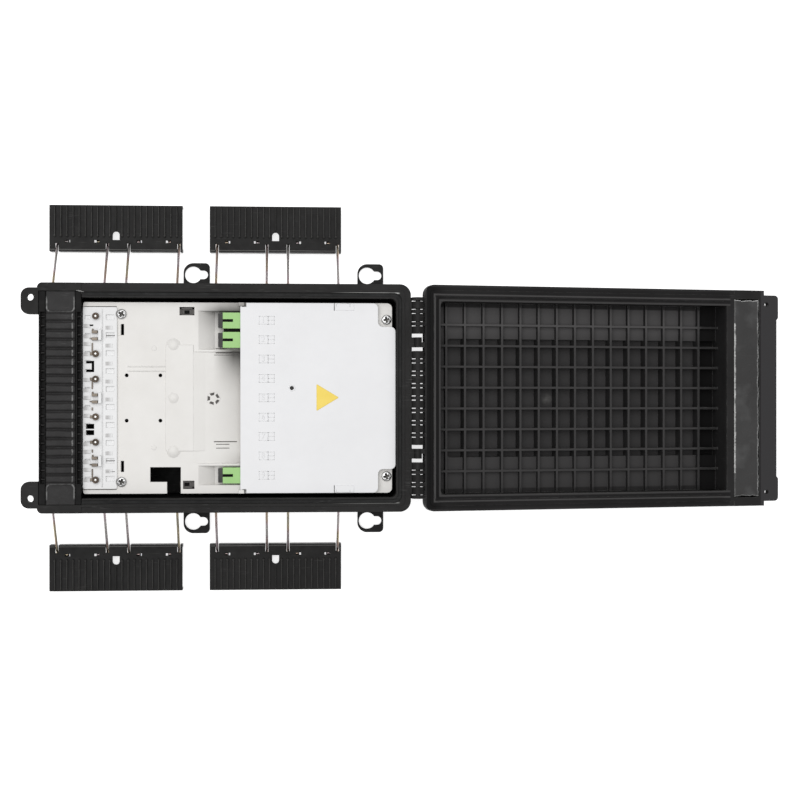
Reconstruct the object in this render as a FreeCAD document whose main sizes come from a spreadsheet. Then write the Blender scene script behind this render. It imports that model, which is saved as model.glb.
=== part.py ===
"""Fibre splice closure, lying open on its back.

Frame: millimetres, +Z up out of the base's mouth, +X towards the hinge and the lid, origin at the
middle of the base's back face. The lid is open past flat, with its far end on the same surface, and
the four latches lie open beside the base.
"""

import os
import re

import FreeCAD
import Part
import Sketcher

# Driving sizes: name, value in mm (or a count), what it is
SIZES = [
    ("base_length", 298.4, "base, over the rim flange, along X"),
    ("base_width", 184.0, "base, over the rim flange, along Y"),
    ("rim_height", 86.0, "back face to parting plane"),
    ("rim_band", 11.7, "rim flange edge to the mouth of the base"),
    ("rim_gap", 0.4, "between the two rims when shut"),
    ("rebate_depth", 0.8, "step down round the outside of both rims"),
    ("base_rebate", 5.0, "step of the base rim, from its edge"),
    ("lid_rebate", 4.4, "step of the lid rim, from its edge"),
    ("flange_depth", 7.0, "base rim flange, thickness"),
    ("wall", 3.0, "base walls"),
    ("floor_plate", 3.0, "base back plate"),
    ("hinge_corner", 9.0, "rim corners beside the hinge"),
    ("cable_corner", 4.0, "rim corners at the cable end"),
    ("back_round", 5.0, "edge of the back face"),
    ("groove_inset", 7.2, "rim edge to seal groove"),
    ("groove_width", 3.2, "seal groove"),
    ("groove_depth", 4.5, "seal groove"),
    ("seal_height", 2.6, "rim seal"),
    ("seal_play", 0.1, "rim seal to groove wall"),
    ("ear_reach", 12.8, "ears past the base's end"),
    ("ear_width", 21.4, "ears along Y"),
    ("ear_inset", 14.7, "rim edge to the middle of an ear"),
    ("ear_depth", 6.0, "ear thickness"),
    ("ear_root", 1.0, "end wall that carries an ear"),
    ("ear_round", 6.5, "outer ear corners"),
    ("ear_hole_out", 5.3, "ear hole past the base's end"),
    ("ear_hole_inset", 11.8, "rim edge to ear hole"),
    ("ear_hole_radius", 2.7, "ear hole"),
    ("lug_room", 0.4, "levers to the keyhole lugs between them"),
    ("keyhole_last", 31.3, "hinge end of the base to the last keyholes"),
    ("keyhole_out", 21.8, "base wall to keyhole"),
    ("keyhole_radius", 7.1, "round part of a keyhole"),
    ("keyway_half", 3.7, "half width of a keyhole's slot"),
    ("keyway_run", 8.7, "keyhole centre to slot end centre"),
    ("lug_skin", 1.1, "keyhole lug outside the round part"),
    ("lug_end", 1.5, "keyhole lug past the slot"),
    ("lug_edge", 9.9, "keyhole to the lug's outer edge"),
    ("lug_depth", 3.2, "keyhole lug thickness"),
    ("shelf_height", 57.0, "top of the gel shelf"),
    ("shelf_depth", 3.0, "gel shelf thickness"),
    ("outer_comb_depth", 6.6, "outer comb along X"),
    ("inner_comb_depth", 4.7, "inner comb along X"),
    ("gel_length", 23.5, "gel block along X"),
    ("gel_band", 6.6, "rim edge to the gel trough"),
    ("gel_play", 0.1, "gel and combs to their trough"),
    ("gel_sink", 0.5, "gel and comb tops below the parting plane"),
    ("finger_count", 19, "fingers of a comb"),
    ("finger_pitch", 7.2, "comb fingers"),
    ("finger_width", 3.0, "comb fingers"),
    ("finger_bar", 5.0, "bar that the fingers stand on"),
    ("web_in", 1.2, "face of a comb to its thin wall"),
    ("web_depth", 1.6, "thin wall between comb fingers"),
    ("web_drop", 1.5, "thin wall below the comb's top"),
    ("gel_groove", 0.7, "half width of the cuts between gel ridges"),
    ("gel_groove_depth", 2.5, "cuts between gel ridges"),
    ("hinge_gap", 5.6, "rim edge to hinge axis"),
    ("knuckle_radius", 5.0, "hinge knuckles"),
    ("hinge_inset", 12.0, "rim edge to the middle of the last knuckle"),
    ("knuckle_count", 16, "knuckle pitches along the hinge"),
    ("hook_place", 4.5, "large knuckles from the centre line, in pitches"),
    ("knuckle_gap", 0.8, "between knuckles"),
    ("hook_gap", 3.1, "beside the two large knuckles"),
    ("hook_radius", 3.2, "large knuckles"),
    ("hook_toe", 5.5, "hinge axis to the toe of a large knuckle"),
    ("hook_toe_half", 2.0, "half height of that toe"),
    ("hinge_lip", 0.9, "lip of the base under the lid's knuckles"),
    ("hinge_lip_drop", 2.7, "hinge axis to the lip's top"),
    ("narrow_knuckle", 2.6, "lid knuckles along Y"),
    ("pin_radius", 1.8, "hinge pin"),
    ("pin_play", 0.15, "hinge pin to lid knuckles"),
    ("pin_fit", 0.02, "hinge pin to base knuckles"),
    ("wire_radius", 1.05, "bail wire"),
    ("wire_play", 0.1, "bail wire to its bores"),
    ("wire_bend", 3.0, "bail wire corners, on the centre line"),
    ("hook_length", 6.0, "straight end of the bail wire in the lever"),
    ("hook_room", 0.6, "wire corner to the lever boss"),
    ("corner_room", 0.4, "wire corner to the lever notch"),
    ("leg_inset", 4.6, "lever end to the outer bail leg"),
    ("leg_pair", 17.8, "between the inner legs of a latch"),
    ("bail_shift", 1.6, "bails off the middle of their lever"),
    ("bail_inset", 1.8, "bail pivot inside the rim edge"),
    ("clip_width", 15.4, "bail clip along X"),
    ("clip_skin", 1.5, "bail clip round the wire"),
    ("clip_mouth", 0.8, "half width of the clip's snap mouth"),
    ("lever_over", 0.8, "levers past the base's cable end"),
    ("lever_free", 53.9, "levers to the base's hinge end"),
    ("lever_out", 40.2, "rim edge to lever pivot, latch open"),
    ("lever_lip", 8.5, "lever pivot to hook edge"),
    ("lever_reach", 30.4, "lever pivot to grip edge"),
    ("lever_off", 4.5, "lever pivot outside the rim edge, latch shut"),
    ("plate_rise", 2.9, "lever pivot to plate"),
    ("plate_depth", 2.0, "lever plate"),
    ("toe_depth", 6.5, "hook toe below the lever pivot"),
    ("toe_width", 2.6, "hook toe thickness"),
    ("toe_gap", 0.35, "hook toe to lid flange, latch shut"),
    ("grip_width", 1.8, "grip edge thickness"),
    ("grip_rib", 2.0, "grip ribs above the plate"),
    ("grip_rib_width", 1.0, "grip ribs along X"),
    ("grip_rib_pitch", 5.1, "grip ribs"),
    ("grip_rib_start", 3.6, "lever pivot to grip ribs"),
    ("grip_rib_end", 0.9, "grip ribs short of the grip edge"),
    ("boss_skin", 1.35, "lever boss round the wire"),
    ("notch_out", 1.9, "lever notch outside a wire leg"),
    ("notch_back", 0.5, "lever notch edge to pivot"),
    ("notch_side", 0.8, "grip edge notch beside a wire leg"),
    ("grip_notch", 1.9, "lever pivot down to the grip edge notches"),
    ("slot_half", 2.9, "half width of the lever's slot"),
    ("slot_start", 1.2, "lever pivot to slot"),
    ("slot_run", 4.2, "slot to the middle of its round end"),
    ("window_place", 12.2, "small lever windows from a bail's middle"),
    ("window_run", 4.4, "small lever windows along X"),
    ("floor_gap", 0.4, "latches and lid end above the surface"),
    ("lap", 0.5, "overlap of joined pieces"),
    ("over", 1.0, "reach of cutters past a face"),
    ("lid_over", 2.9, "lid's end wall past the base's end"),
    ("lid_near", 6.1, "hinge axis to the lid's near edge"),
    ("lid_depth", 31.0, "lid rim to the middle of its roof"),
    ("shoulder_depth", 25.0, "lid rim to the roof beside the walls"),
    ("shoulder_width", 29.6, "roof step from the lid's side wall"),
    ("lid_flange", 8.0, "lid flange thickness"),
    ("lid_band", 13.4, "lid flange edge to the mouth of the lid"),
    ("lid_wall", 3.0, "lid walls and roof"),
    ("lid_corner", 8.0, "lid corners beside the hinge"),
    ("end_flange", 11.7, "lid's end wall to the edge of its end flange"),
    ("lid_ear_out", 13.2, "lid's end wall to the lid ears' ends"),
    ("lid_ear_radius", 1.9, "lid ear holes"),
    ("tongue_height", 1.2, "lid tongue past the parting plane"),
    ("tongue_width", 2.2, "lid tongue"),
    ("lid_ledge", 6.9, "ledge between the lid's hollow and its gel"),
    ("lid_gel_length", 23.2, "lid gel along X"),
    ("lid_end_wall", 4.6, "lid wall past the gel"),
    ("lid_gel_short", 0.8, "lid gel shorter than the base's trough, each end"),
    ("lid_gel_depth", 20.0, "lid gel"),
    ("rib_first", 29.0, "hinge axis to the first cross rib"),
    ("rib_count", 15, "cross ribs"),
    ("rib_last", 17.9, "last cross rib to the lid's cross wall"),
    ("long_rib_count", 8, "long ribs"),
    ("long_rib_inset", 18.2, "lid mouth to the outer long ribs"),
    ("rib_width", 1.8, "roof ribs"),
    ("rib_top", 17.5, "lid rim to rib tops"),
    ("tray_top", 77.0, "back face to tray top"),
    ("tray_plate", 2.2, "tray plate"),
    ("tray_skirt", 10.2, "tray top to the edge of its skirt"),
    ("tray_skin", 1.8, "tray skirt and inner walls"),
    ("tray_side", 3.3, "mouth of the base to the tray's long edges"),
    ("tray_right", 3.1, "mouth of the base to the tray's right edge"),
    ("tray_play", 0.5, "tray to the inner comb"),
    ("bay_floor", 70.2, "back face to the adapter bays' floor"),
    ("bay_run", 19.6, "start of the adapter bays to the adapters"),
    ("bay_ramp", 13.0, "ramp down into the adapter bays"),
    ("cutout_in", 53.4, "tray's left edge to its cut-out"),
    ("cutout_length", 24.4, "tray cut-out along X"),
    ("cutout_edge", 9.4, "tray's long edge to its cut-out"),
    ("cutout_width", 11.9, "tray cut-out along Y"),
    ("cutout_gate", 11.0, "way out of the cut-out along X"),
    ("window_length", 11.9, "tray windows along X"),
    ("window_edge", 3.7, "tray's long edge to its windows"),
    ("window_width", 6.6, "tray windows along Y"),
    ("relief_in", 30.1, "tray's left edge to the reliefs beside the strip"),
    ("relief_length", 2.4, "reliefs along X"),
    ("relief_edge", 22.0, "tray's long edge to the middle of the reliefs"),
    ("relief_width", 8.9, "reliefs along Y"),
    ("round_in", 34.6, "tray's left edge to the first round holes"),
    ("round_run", 26.9, "between the round holes along X"),
    ("round_place", 18.2, "round holes from the centre line"),
    ("slope_drop", 3.5, "fall of the floor between the adapter bays"),
    ("slope_lead", 4.0, "start of the sloping floor before the adapter bays"),
    ("step_in", 65.7, "tray's left edge to its low step"),
    ("step_side", 34.3, "tray's long edge to its low step"),
    ("step_rise", 0.8, "tray's low step"),
    ("step_boss", 4.4, "round bosses of the step"),
    ("boss_rise", 1.2, "round bosses above the step"),
    ("guide_place", 21.6, "first guide line from the centre line"),
    ("guide_gap", 3.7, "between the guide lines"),
    ("guide_width", 0.7, "guide lines"),
    ("guide_rise", 0.4, "guide lines above the tray"),
    ("vent_in", 7.7, "vent to the adapters' open ends"),
    ("vent_count", 6, "vent holes"),
    ("vent_ring", 3.9, "vent holes from the vent's middle"),
    ("vent_radius", 1.1, "vent holes"),
    ("well_edge", 12.9, "splice well to the tray's right edge"),
    ("well_side", 4.4, "splice well to the tray's long edges"),
    ("well_floor", 69.0, "back face to the splice well's floor"),
    ("screw_left_in", 30.6, "tray's left edge to the left screws"),
    ("screw_left_side", 9.6, "tray's long edge to the left screws"),
    ("screw_right_in", 4.5, "tray's right edge to the right screws"),
    ("screw_right_side", 13.4, "tray's long edge to the right screws"),
    ("screw_radius", 1.5, "tray screw shank"),
    ("screw_head", 4.0, "tray screw head radius"),
    ("screw_head_depth", 2.4, "tray screw head"),
    ("recess_width", 0.9, "cross recess of the tray screws"),
    ("recess_length", 4.8, "cross recess of the tray screws"),
    ("screw_bite", 10.0, "tray screw in its post"),
    ("post_radius", 4.6, "screw posts"),
    ("strip_length", 27.1, "cable strip along X"),
    ("strip_side", 4.0, "cable strip to the tray's long edges"),
    ("strip_depth", 2.0, "cable strip"),
    ("strip_margin", 1.0, "strip end to the first tie slot's place"),
    ("tie_count", 10, "tie slots of the strip"),
    ("tie_width", 4.2, "tie slots along Y"),
    ("tie_in", 18.3, "tray's left edge to the tie slots"),
    ("tie_length", 6.6, "tie slots along X"),
    ("pocket_depth", 1.3, "pockets of the strip"),
    ("fibre_pocket", 4.4, "small pockets of the strip along X"),
    ("fibre_in", 1.6, "strip's left edge to its small pockets"),
    ("line_in", 3.0, "strip's raised line to the tie slots"),
    ("upright_in", 5.6, "strip's uprights to the tie slots"),
    ("upright_depth", 2.4, "strip's uprights along X"),
    ("upright_width", 8.4, "uprights of the strip along Y"),
    ("upright_height", 4.5, "uprights of the strip"),
    ("snap_width", 2.0, "snap slots of the strip"),
    ("snap_half", 3.5, "snap slots from their middle"),
    ("snap_middle", 4.6, "snap slots to the clamp screws"),
    ("snap_length", 7.0, "snap slots along X"),
    ("snap_edge", 0.4, "tray opening past the snap slots along X"),
    ("snap_room", 10.0, "tray opening under the snap slots along Y"),
    ("clamp_in", 10.3, "tray's left edge to the clamp screws"),
    ("clamp_edge", 7.4, "strip end to the outer clamp screw"),
    ("clamp_reach", 15.1, "clamp screws from their clamp's middle"),
    ("clamp_plate", 1.2, "clamp plate"),
    ("clamp_count", 3, "strength clamps"),
    ("clamp_strip", 1.8, "narrow strip of a clamp along X"),
    ("clamp_skin", 0.3, "clamp eyes outside the screw heads"),
    ("clamp_lap", 0.4, "clamp strip under the screw heads"),
    ("clamp_height", 6.0, "clamp tabs, folded double"),
    ("tab_place", 3.6, "clamp tabs from their clamp's middle"),
    ("tab_size", 3.2, "clamp tabs along Y"),
    ("ring_radius", 2.8, "clamp screw head"),
    ("ring_height", 2.2, "clamp screw head"),
    ("adapter_width", 12.8, "adapter along Y"),
    ("adapter_height", 9.3, "adapter along Z"),
    ("adapter_length", 26.5, "adapter along X"),
    ("adapter_in", 111.5, "tray's left edge to the adapters' open ends"),
    ("bay_margin", 6.75, "tray's long edge to the adapter places"),
    ("adapter_places", 9, "adapter places"),
    ("port_width", 9.3, "adapter port along Y"),
    ("port_height", 7.6, "adapter port along Z"),
    ("port_depth", 9.0, "adapter port"),
    ("key_width", 2.2, "adapter key slot along Y"),
    ("key_length", 8.2, "adapter key slot along X"),
    ("sleeve_radius", 1.3, "adapter sleeve bore"),
    ("cap_reach", 3.7, "dust cap in front of its adapter"),
    ("cap_edge", 1.0, "dust cap past its port, each side"),
    ("cap_play", 0.15, "dust cap to its port"),
    ("adapter_show", 14.2, "adapters' open ends to the cover"),
    ("cover_gap", 0.6, "cover to the mouth's end wall"),
    ("cover_inset", 0.4, "tray's long edge to the cover's"),
    ("cover_level", 80.5, "back face to the cover's underside"),
    ("cover_plate", 1.8, "cover plate"),
    ("cover_skirt", 3.2, "cover skirt"),
    ("cover_corner_run", 14.1, "cut corners of the cover along X"),
    ("cover_corner_cut", 19.0, "cut corners of the cover along Y"),
    ("cover_round", 4.0, "cover corners"),
    ("eye_in", 41.3, "cover's hinged edge to its eye"),
    ("eye_place", 8.0, "cover's eye from the centre line"),
    ("eye_radius", 1.6, "cover's eye"),
    ("stub_radius", 0.85, "cover hinge stubs"),
    ("stub_play", 0.15, "cover hinge stubs to their lugs"),
    ("stub_length", 3.2, "cover hinge stubs"),
    ("stub_root", 2.0, "cover hinge stubs inside the cover"),
    ("stub_end", 0.1, "cover hinge stubs short of the cover's edge"),
    ("stub_inset", 0.8, "cover edge to hinge axis"),
    ("cover_lug", 4.4, "cover hinge lugs along X"),
    ("cover_lug_top", 0.9, "cover hinge lugs above the stubs"),
    ("cover_lug_side", 0.2, "cover hinge lugs past the cover's edge"),
    ("cover_lug_room", 0.6, "cover hinge lugs to the cover"),
    ("tab_in", 35.3, "snap tabs to the cover's cut corners"),
    ("tab_width", 10.9, "cover snap tabs along X"),
    ("tab_depth", 6.0, "cover snap tabs along Y"),
    ("tab_slit", 0.8, "slits beside the snap tabs"),
    ("holder_edge", 15.5, "splice holders to the splice well's end"),
    ("holder_width", 26.0, "splice holders along Y"),
    ("holder_height", 7.0, "splice holders"),
    ("holder_count", 6, "grooves of a splice holder"),
    ("holder_in", 48.4, "splice well's start to the splice holders"),
    ("holder_side", 32.6, "splice well's side to the splice holders' middle"),
    ("drum_radius", 17.0, "fibre drum walls of the splice well"),
    ("drum_skin", 1.5, "fibre drum walls, thickness"),
    ("drum_gap", 4.0, "fibre drums to the splice holders"),
]

# Lengths and places worked out from the driving sizes
DERIVED = {
    "base_end": "base_length/2",
    "half_width": "base_width/2",
    "mouth_half": "half_width - rim_band",
    "mouth_right": "base_end - rim_band",
    "wall_half": "mouth_half + wall",
    "gel_start": "outer_comb_depth - base_end",
    "gel_stop": "gel_start + gel_length",
    "mouth_left": "gel_stop + inner_comb_depth",
    "groove_half": "half_width - groove_inset",
    "groove_right": "base_end - groove_inset",
    "gel_top": "rim_height - gel_sink",
    "hinge_x": "base_end + hinge_gap",
    "hinge_z": "rim_height + rim_gap/2",
    "clip_radius": "wire_radius + wire_play + clip_skin",
    "boss_radius": "wire_radius + wire_play + boss_skin",
    "bail_y": "half_width - bail_inset",
    "open_z": "toe_depth + floor_gap",
    "shut_y": "half_width + lever_off",
    "shut_z": "rim_height + rim_gap + lid_flange + toe_gap - lever_lip + toe_width",
    # the bail pivot lies as far from the lever's open place as from its shut place
    "bail_z": "((shut_y - bail_y)^2 + shut_z^2 - (lever_place - bail_y)^2 - open_z^2)"
              "/ (2*(shut_z - open_z))",
    "roof_drop": "lid_depth + rim_gap/2",
    "boss_ball": "(step_boss^2 + boss_rise^2) / (2*boss_rise)",
    "lid_tilt": "asin((hinge_z - floor_gap) / hypot(lid_reach; roof_drop))"
                " - atan2(roof_drop; lid_reach)",
    "lid_mouth_half": "half_width - lid_band",
    "lid_wall_half": "lid_mouth_half + lid_wall",
    "lid_mouth_near": "lid_near + lid_band - rim_gap",
    "lid_ear_hole": "hinge_gap + base_length + ear_hole_out",
    "tray_left": "mouth_left + tray_play",
    "tray_foot": "tray_top - tray_skirt",
    "strip_top": "tray_top + strip_depth",
    "adapter_floor": "bay_floor + rim_gap/2",
    "adapter_top": "adapter_floor + adapter_height",
    "cover_right": "mouth_right - cover_gap",
    "cover_top": "cover_level + cover_plate",
    "cover_axis_x": "cover_left + stub_inset",
    "cover_axis_z": "cover_level + cover_plate/2",
    "ear_place": "half_width - ear_inset",
    "ear_hole_place": "half_width - ear_hole_inset",
    "lug_length": "keyhole_radius + lug_skin + keyway_run + keyway_half + lug_end",
    "keyhole_first": "lever_a + lever_length/2 + lug_room + keyhole_radius + lug_skin",
    "keyhole_spacing": "base_end - keyhole_last - keyhole_first",
    "keyhole_place": "wall_half + keyhole_out",
    "lug_reach": "keyhole_place + lug_edge",
    "trough_half": "half_width - gel_band",
    "knuckle_pitch": "(base_width - 2*hinge_inset)/knuckle_count",
    "wide_knuckle": "knuckle_pitch - narrow_knuckle - 2*knuckle_gap",
    "hook_knuckle": "2*knuckle_pitch - wide_knuckle - 2*hook_gap",
    "pin_half": "(knuckle_count*knuckle_pitch + narrow_knuckle)/2",
    "hook_side": "knuckle_pitch - wide_knuckle/2",
    "lever_length": "(base_length + lever_over - lever_free - lug_length - 2*lug_room)/2",
    "lever_a": "lever_length/2 - lever_over - base_end",
    "lever_b": "lever_a + lever_length + 2*lug_room + lug_length",
    "bail_width": "(lever_length - 2*leg_inset - leg_pair)/2",
    "bail_spread": "bail_width + leg_pair",
    "lever_place": "half_width + lever_out",
    "lid_reach": "hinge_gap + base_length + lid_over",
    "lid_end": "lid_reach + end_flange",
    "lid_ear_reach": "lid_reach + lid_ear_out",
    "lid_gel_end": "lid_reach - lid_end_wall",
    "lid_gel_start": "lid_gel_end - lid_gel_length",
    "lid_bay_wall": "lid_gel_start - lid_ledge",
    "lid_gel_half": "trough_half - lid_gel_short",
    "shoulder_place": "lid_wall_half - shoulder_width",
    "rib_pitch": "(lid_bay_wall - rib_last - rib_first)/(rib_count - 1)",
    "long_rib_pitch": "2*(lid_mouth_half - long_rib_inset)/(long_rib_count - 1)",
    "tray_half": "mouth_half - tray_side",
    "tray_end": "mouth_right - tray_right",
    "adapter_start": "tray_left + adapter_in",
    "cover_left": "adapter_start + adapter_show",
    "well_start": "cover_left + tray_skin",
    "bay_start": "adapter_start - bay_run",
    "well_end": "tray_end - well_edge",
    "well_half": "tray_half - well_side",
    "screw_left": "tray_left + screw_left_in",
    "screw_left_place": "tray_half - screw_left_side",
    "screw_right": "tray_end - screw_right_in",
    "screw_right_place": "tray_half - screw_right_side",
    "strip_end": "tray_left + strip_length",
    "strip_half": "tray_half - strip_side",
    "tie_pitch": "2*(strip_half - strip_margin)/tie_count",
    "tie_start": "tray_left + tie_in",
    "clamp_place": "tray_left + clamp_in",
    "clamp_pitch": "strip_half - clamp_edge - clamp_reach",
    "adapter_pitch": "2*(tray_half - bay_margin)/adapter_places",
    "cover_half": "tray_half - cover_inset",
    "cover_corner_x": "cover_right - cover_corner_run",
    "cover_corner_place": "cover_half - cover_corner_cut",
    "tab_start": "cover_corner_x - tab_in",
    "holder_start": "well_start + holder_in",
    "holder_length": "well_end - holder_edge - holder_start",
    "holder_place": "well_half - holder_side",
    "step_start": "tray_left + step_in",
    "step_half": "tray_half - step_side",
    "vent_place": "adapter_start - vent_in",
}

doc = FreeCAD.newDocument("splice_closure")
sheet = doc.addObject("Spreadsheet::Sheet", "dims")
for row, (alias, value, meaning) in enumerate(SIZES, start=1):
    sheet.set(f"A{row}", meaning)
    sheet.set(f"B{row}", str(value))
    sheet.setAlias(f"B{row}", alias)
doc.recompute()

ALIASES = {alias for alias, value, meaning in SIZES}
Vector = FreeCAD.Vector
ALONG_X = FreeCAD.Rotation(Vector(0, 1, 0), 90)
ALONG_Y = FreeCAD.Rotation(Vector(1, 0, 0), -90)
ALONG_Z = FreeCAD.Rotation()
SIDES = {"top": 1, "bottom": -1}
nodes = {}


def formula(text):
    """A formula of size names, written as an expression on the sheet."""

    def spell(match):
        word = match.group(0)
        if word in DERIVED:
            return "(" + formula(DERIVED[word]) + ")"
        return "dims." + word if word in ALIASES else word

    return re.sub(r"[a-z][a-z_0-9]*", spell, str(text))


def size(text):
    """The value of a formula of size names."""
    value = sheet.evalExpression(formula(text))
    return float(getattr(value, "Value", value))


def bind(thing, prop, text):
    """Tie a property to a formula of size names."""
    thing.setExpression(prop, formula(text))


def span(low, high):
    return f"({high}) - ({low})"


def around(centre, width):
    """The two ends of a width about a centre."""
    return f"({centre}) - ({width})/2", f"({centre}) + ({width})/2"


def beside(s, near, far):
    """The two ends in Y of a band on one side, given how far it lies from the centre line."""
    return (near, far) if s > 0 else (f"-({far})", f"-({near})")


def block(name, x, y, z):
    """A box between the (low, high) formulas of each axis."""
    thing = doc.addObject("Part::Box", name)
    for prop, axis, (low, high) in zip(("Length", "Width", "Height"), "xyz", (x, y, z)):
        bind(thing, prop, span(low, high))
        bind(thing, "Placement.Base." + axis, low)
    return thing


def rod(name, radius, turn, start, length):
    """A cylinder that starts at a point and runs along the turned axis."""
    thing = doc.addObject("Part::Cylinder", name)
    thing.Placement = FreeCAD.Placement(Vector(), turn)
    bind(thing, "Radius", radius)
    bind(thing, "Height", length)
    for axis, place in zip("xyz", start):
        bind(thing, "Placement.Base." + axis, place)
    return thing


def fuse(name, *pieces):
    thing = doc.addObject("Part::MultiFuse", name)
    thing.Shapes = list(pieces)
    thing.Refine = True
    return thing


def cut(name, base, *tools):
    thing = doc.addObject("Part::Cut", name)
    thing.Base = base
    thing.Tool = tools[0] if len(tools) == 1 else fuse(name + "_cuts", *tools)
    thing.Refine = True
    return thing


def origin_plane(body, role):
    return [part for part in body.Origin.OriginFeatures if part.Role == role][0]


def profile(name, role, offset, points, depth):
    """A body padded from a closed outline on an origin plane, its corners tied to formulas."""
    body = doc.addObject("PartDesign::Body", name)
    sketch = body.newObject("Sketcher::SketchObject", name + "_outline")
    sketch.AttachmentSupport = [(origin_plane(body, role), "")]
    sketch.MapMode = "FlatFace"
    bind(sketch, "AttachmentOffset.Base.z", offset)
    corners = [Vector(size(a), size(b), 0) for a, b in points]
    count = len(points)
    for i in range(count):
        sketch.addGeometry(Part.LineSegment(corners[i], corners[(i + 1) % count]), False)
    for i in range(count):
        sketch.addConstraint(Sketcher.Constraint("Coincident", i, 2, (i + 1) % count, 1))
    for i, place in enumerate(points):
        for kind, start, text in zip(("DistanceX", "DistanceY"), corners[i], place):
            index = sketch.addConstraint(Sketcher.Constraint(kind, -1, 1, i, 1, start))
            bind(sketch, f"Constraints[{index}]", text)
    pad = body.newObject("PartDesign::Pad", name + "_pad")
    pad.Profile = sketch
    bind(pad, "Length", depth)
    doc.recompute()
    return body


def round_edges(body, radius, wanted):
    """Fillet the edges of a body's tip whose two ends pass a test."""
    solid = body.Tip
    names = [
        f"Edge{i}"
        for i, edge in enumerate(solid.Shape.Edges, start=1)
        if len(edge.Vertexes) == 2 and wanted(edge.Vertexes[0].Point, edge.Vertexes[1].Point)
    ]
    fillet = body.newObject("PartDesign::Fillet", body.Name + "_round")
    fillet.Base = (solid, names)
    bind(fillet, "Radius", radius)
    body.Tip = fillet
    doc.recompute()


def upright(a, b):
    return abs(a.x - b.x) < 1e-6 and abs(a.y - b.y) < 1e-6


def slab(name, x, y, z, near=None, far=None):
    """A block with rounded upright edges: near ones at low X, far ones at high X."""
    points = [(x[0], y[0]), (x[1], y[0]), (x[1], y[1]), (x[0], y[1])]
    body = profile(name, "XY_Plane", z[0], points, span(*z))
    middle = (size(x[0]) + size(x[1])) / 2
    if near:
        round_edges(body, near, lambda a, b: upright(a, b) and a.x < middle)
    if far:
        round_edges(body, far, lambda a, b: upright(a, b) and a.x > middle)
    return body


def node(name, thing, tilted=False):
    """Name a finished sub-part, and lay it in the open lid's place if it belongs to the lid."""
    thing.Label = name
    if tilted:
        thing.Placement = FreeCAD.Placement(Vector(), FreeCAD.Rotation(Vector(0, 1, 0), 1))
        bind(thing, "Placement.Base.x", "hinge_x")
        bind(thing, "Placement.Base.z", "hinge_z")
        bind(thing, "Placement.Rotation.Angle", "lid_tilt")
    nodes[name] = thing
    return thing


def gather(name, things):
    """Like pieces of one node, such as its screws."""
    group = doc.addObject("Part::Compound", name)
    group.Links = things
    return group


def knuckle_places(pitch_shift):
    """Y places of one half's knuckles, leaving room for the two large ones."""
    count = int(size("knuckle_count"))
    for k in range(count + (0 if pitch_shift else 1)):
        step = k - count / 2 + pitch_shift
        if abs(abs(step) - size("hook_place")) >= 1:
            yield k, f"({step})*knuckle_pitch"


# Base shell: one deep moulding with a wide rim flange; tub, rim, ears, lugs, clips and knuckles
tub = slab(
    "tub",
    ("-base_end", "mouth_right + wall"),
    ("-wall_half", "wall_half"),
    ("0", "rim_height - flange_depth/2"),
    near="cable_corner",
    far="hinge_corner",
)
round_edges(tub, "back_round", lambda a, b: abs(a.z) < 1e-6 and abs(b.z) < 1e-6)
rim = slab(
    "rim",
    ("-base_end", "base_end"),
    ("-half_width", "half_width"),
    ("rim_height - flange_depth", "rim_height"),
    near="cable_corner",
    far="hinge_corner",
)
base_hollow = [
    slab(
        "mouth",
        ("mouth_left", "mouth_right"),
        ("-mouth_half", "mouth_half"),
        ("floor_plate", "rim_height + over"),
        far="hinge_corner/2",
    ),
    block(
        "under_shelf",
        ("wall - base_end", "mouth_left + over"),
        ("-mouth_half", "mouth_half"),
        ("floor_plate", "shelf_height - shelf_depth"),
    ),
    block(
        "gel_trough",
        ("-base_end - over", "mouth_left + lap"),
        ("-trough_half", "trough_half"),
        ("shelf_height", "rim_height + over"),
    ),
]
rebate_outer = block(
    "base_rebate_outer",
    ("mouth_left", "base_end + over"),
    ("-half_width - over", "half_width + over"),
    ("rim_height - rebate_depth", "rim_height + over"),
)
rebate_inner = slab(
    "base_rebate_inner",
    ("mouth_left - over", "base_end - base_rebate"),
    ("base_rebate - half_width", "half_width - base_rebate"),
    ("rim_height - rebate_depth - over", "rim_height + 2*over"),
    far="hinge_corner - base_rebate",
)
base_hollow.append(cut("base_rebate", rebate_outer, rebate_inner))
groove_outer = slab(
    "groove_outer",
    ("mouth_left", "groove_right"),
    ("-groove_half", "groove_half"),
    ("rim_height - groove_depth", "rim_height + over"),
    far="hinge_corner/2 + 2*over",
)
groove_inner = slab(
    "groove_inner",
    ("mouth_left - over", "groove_right - groove_width"),
    ("groove_width - groove_half", "groove_half - groove_width"),
    ("rim_height - groove_depth - over", "rim_height + 2*over"),
    far="hinge_corner/2",
)
base_hollow.append(cut("groove", groove_outer, groove_inner))
base_adds = []
base_cuts = []
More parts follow.
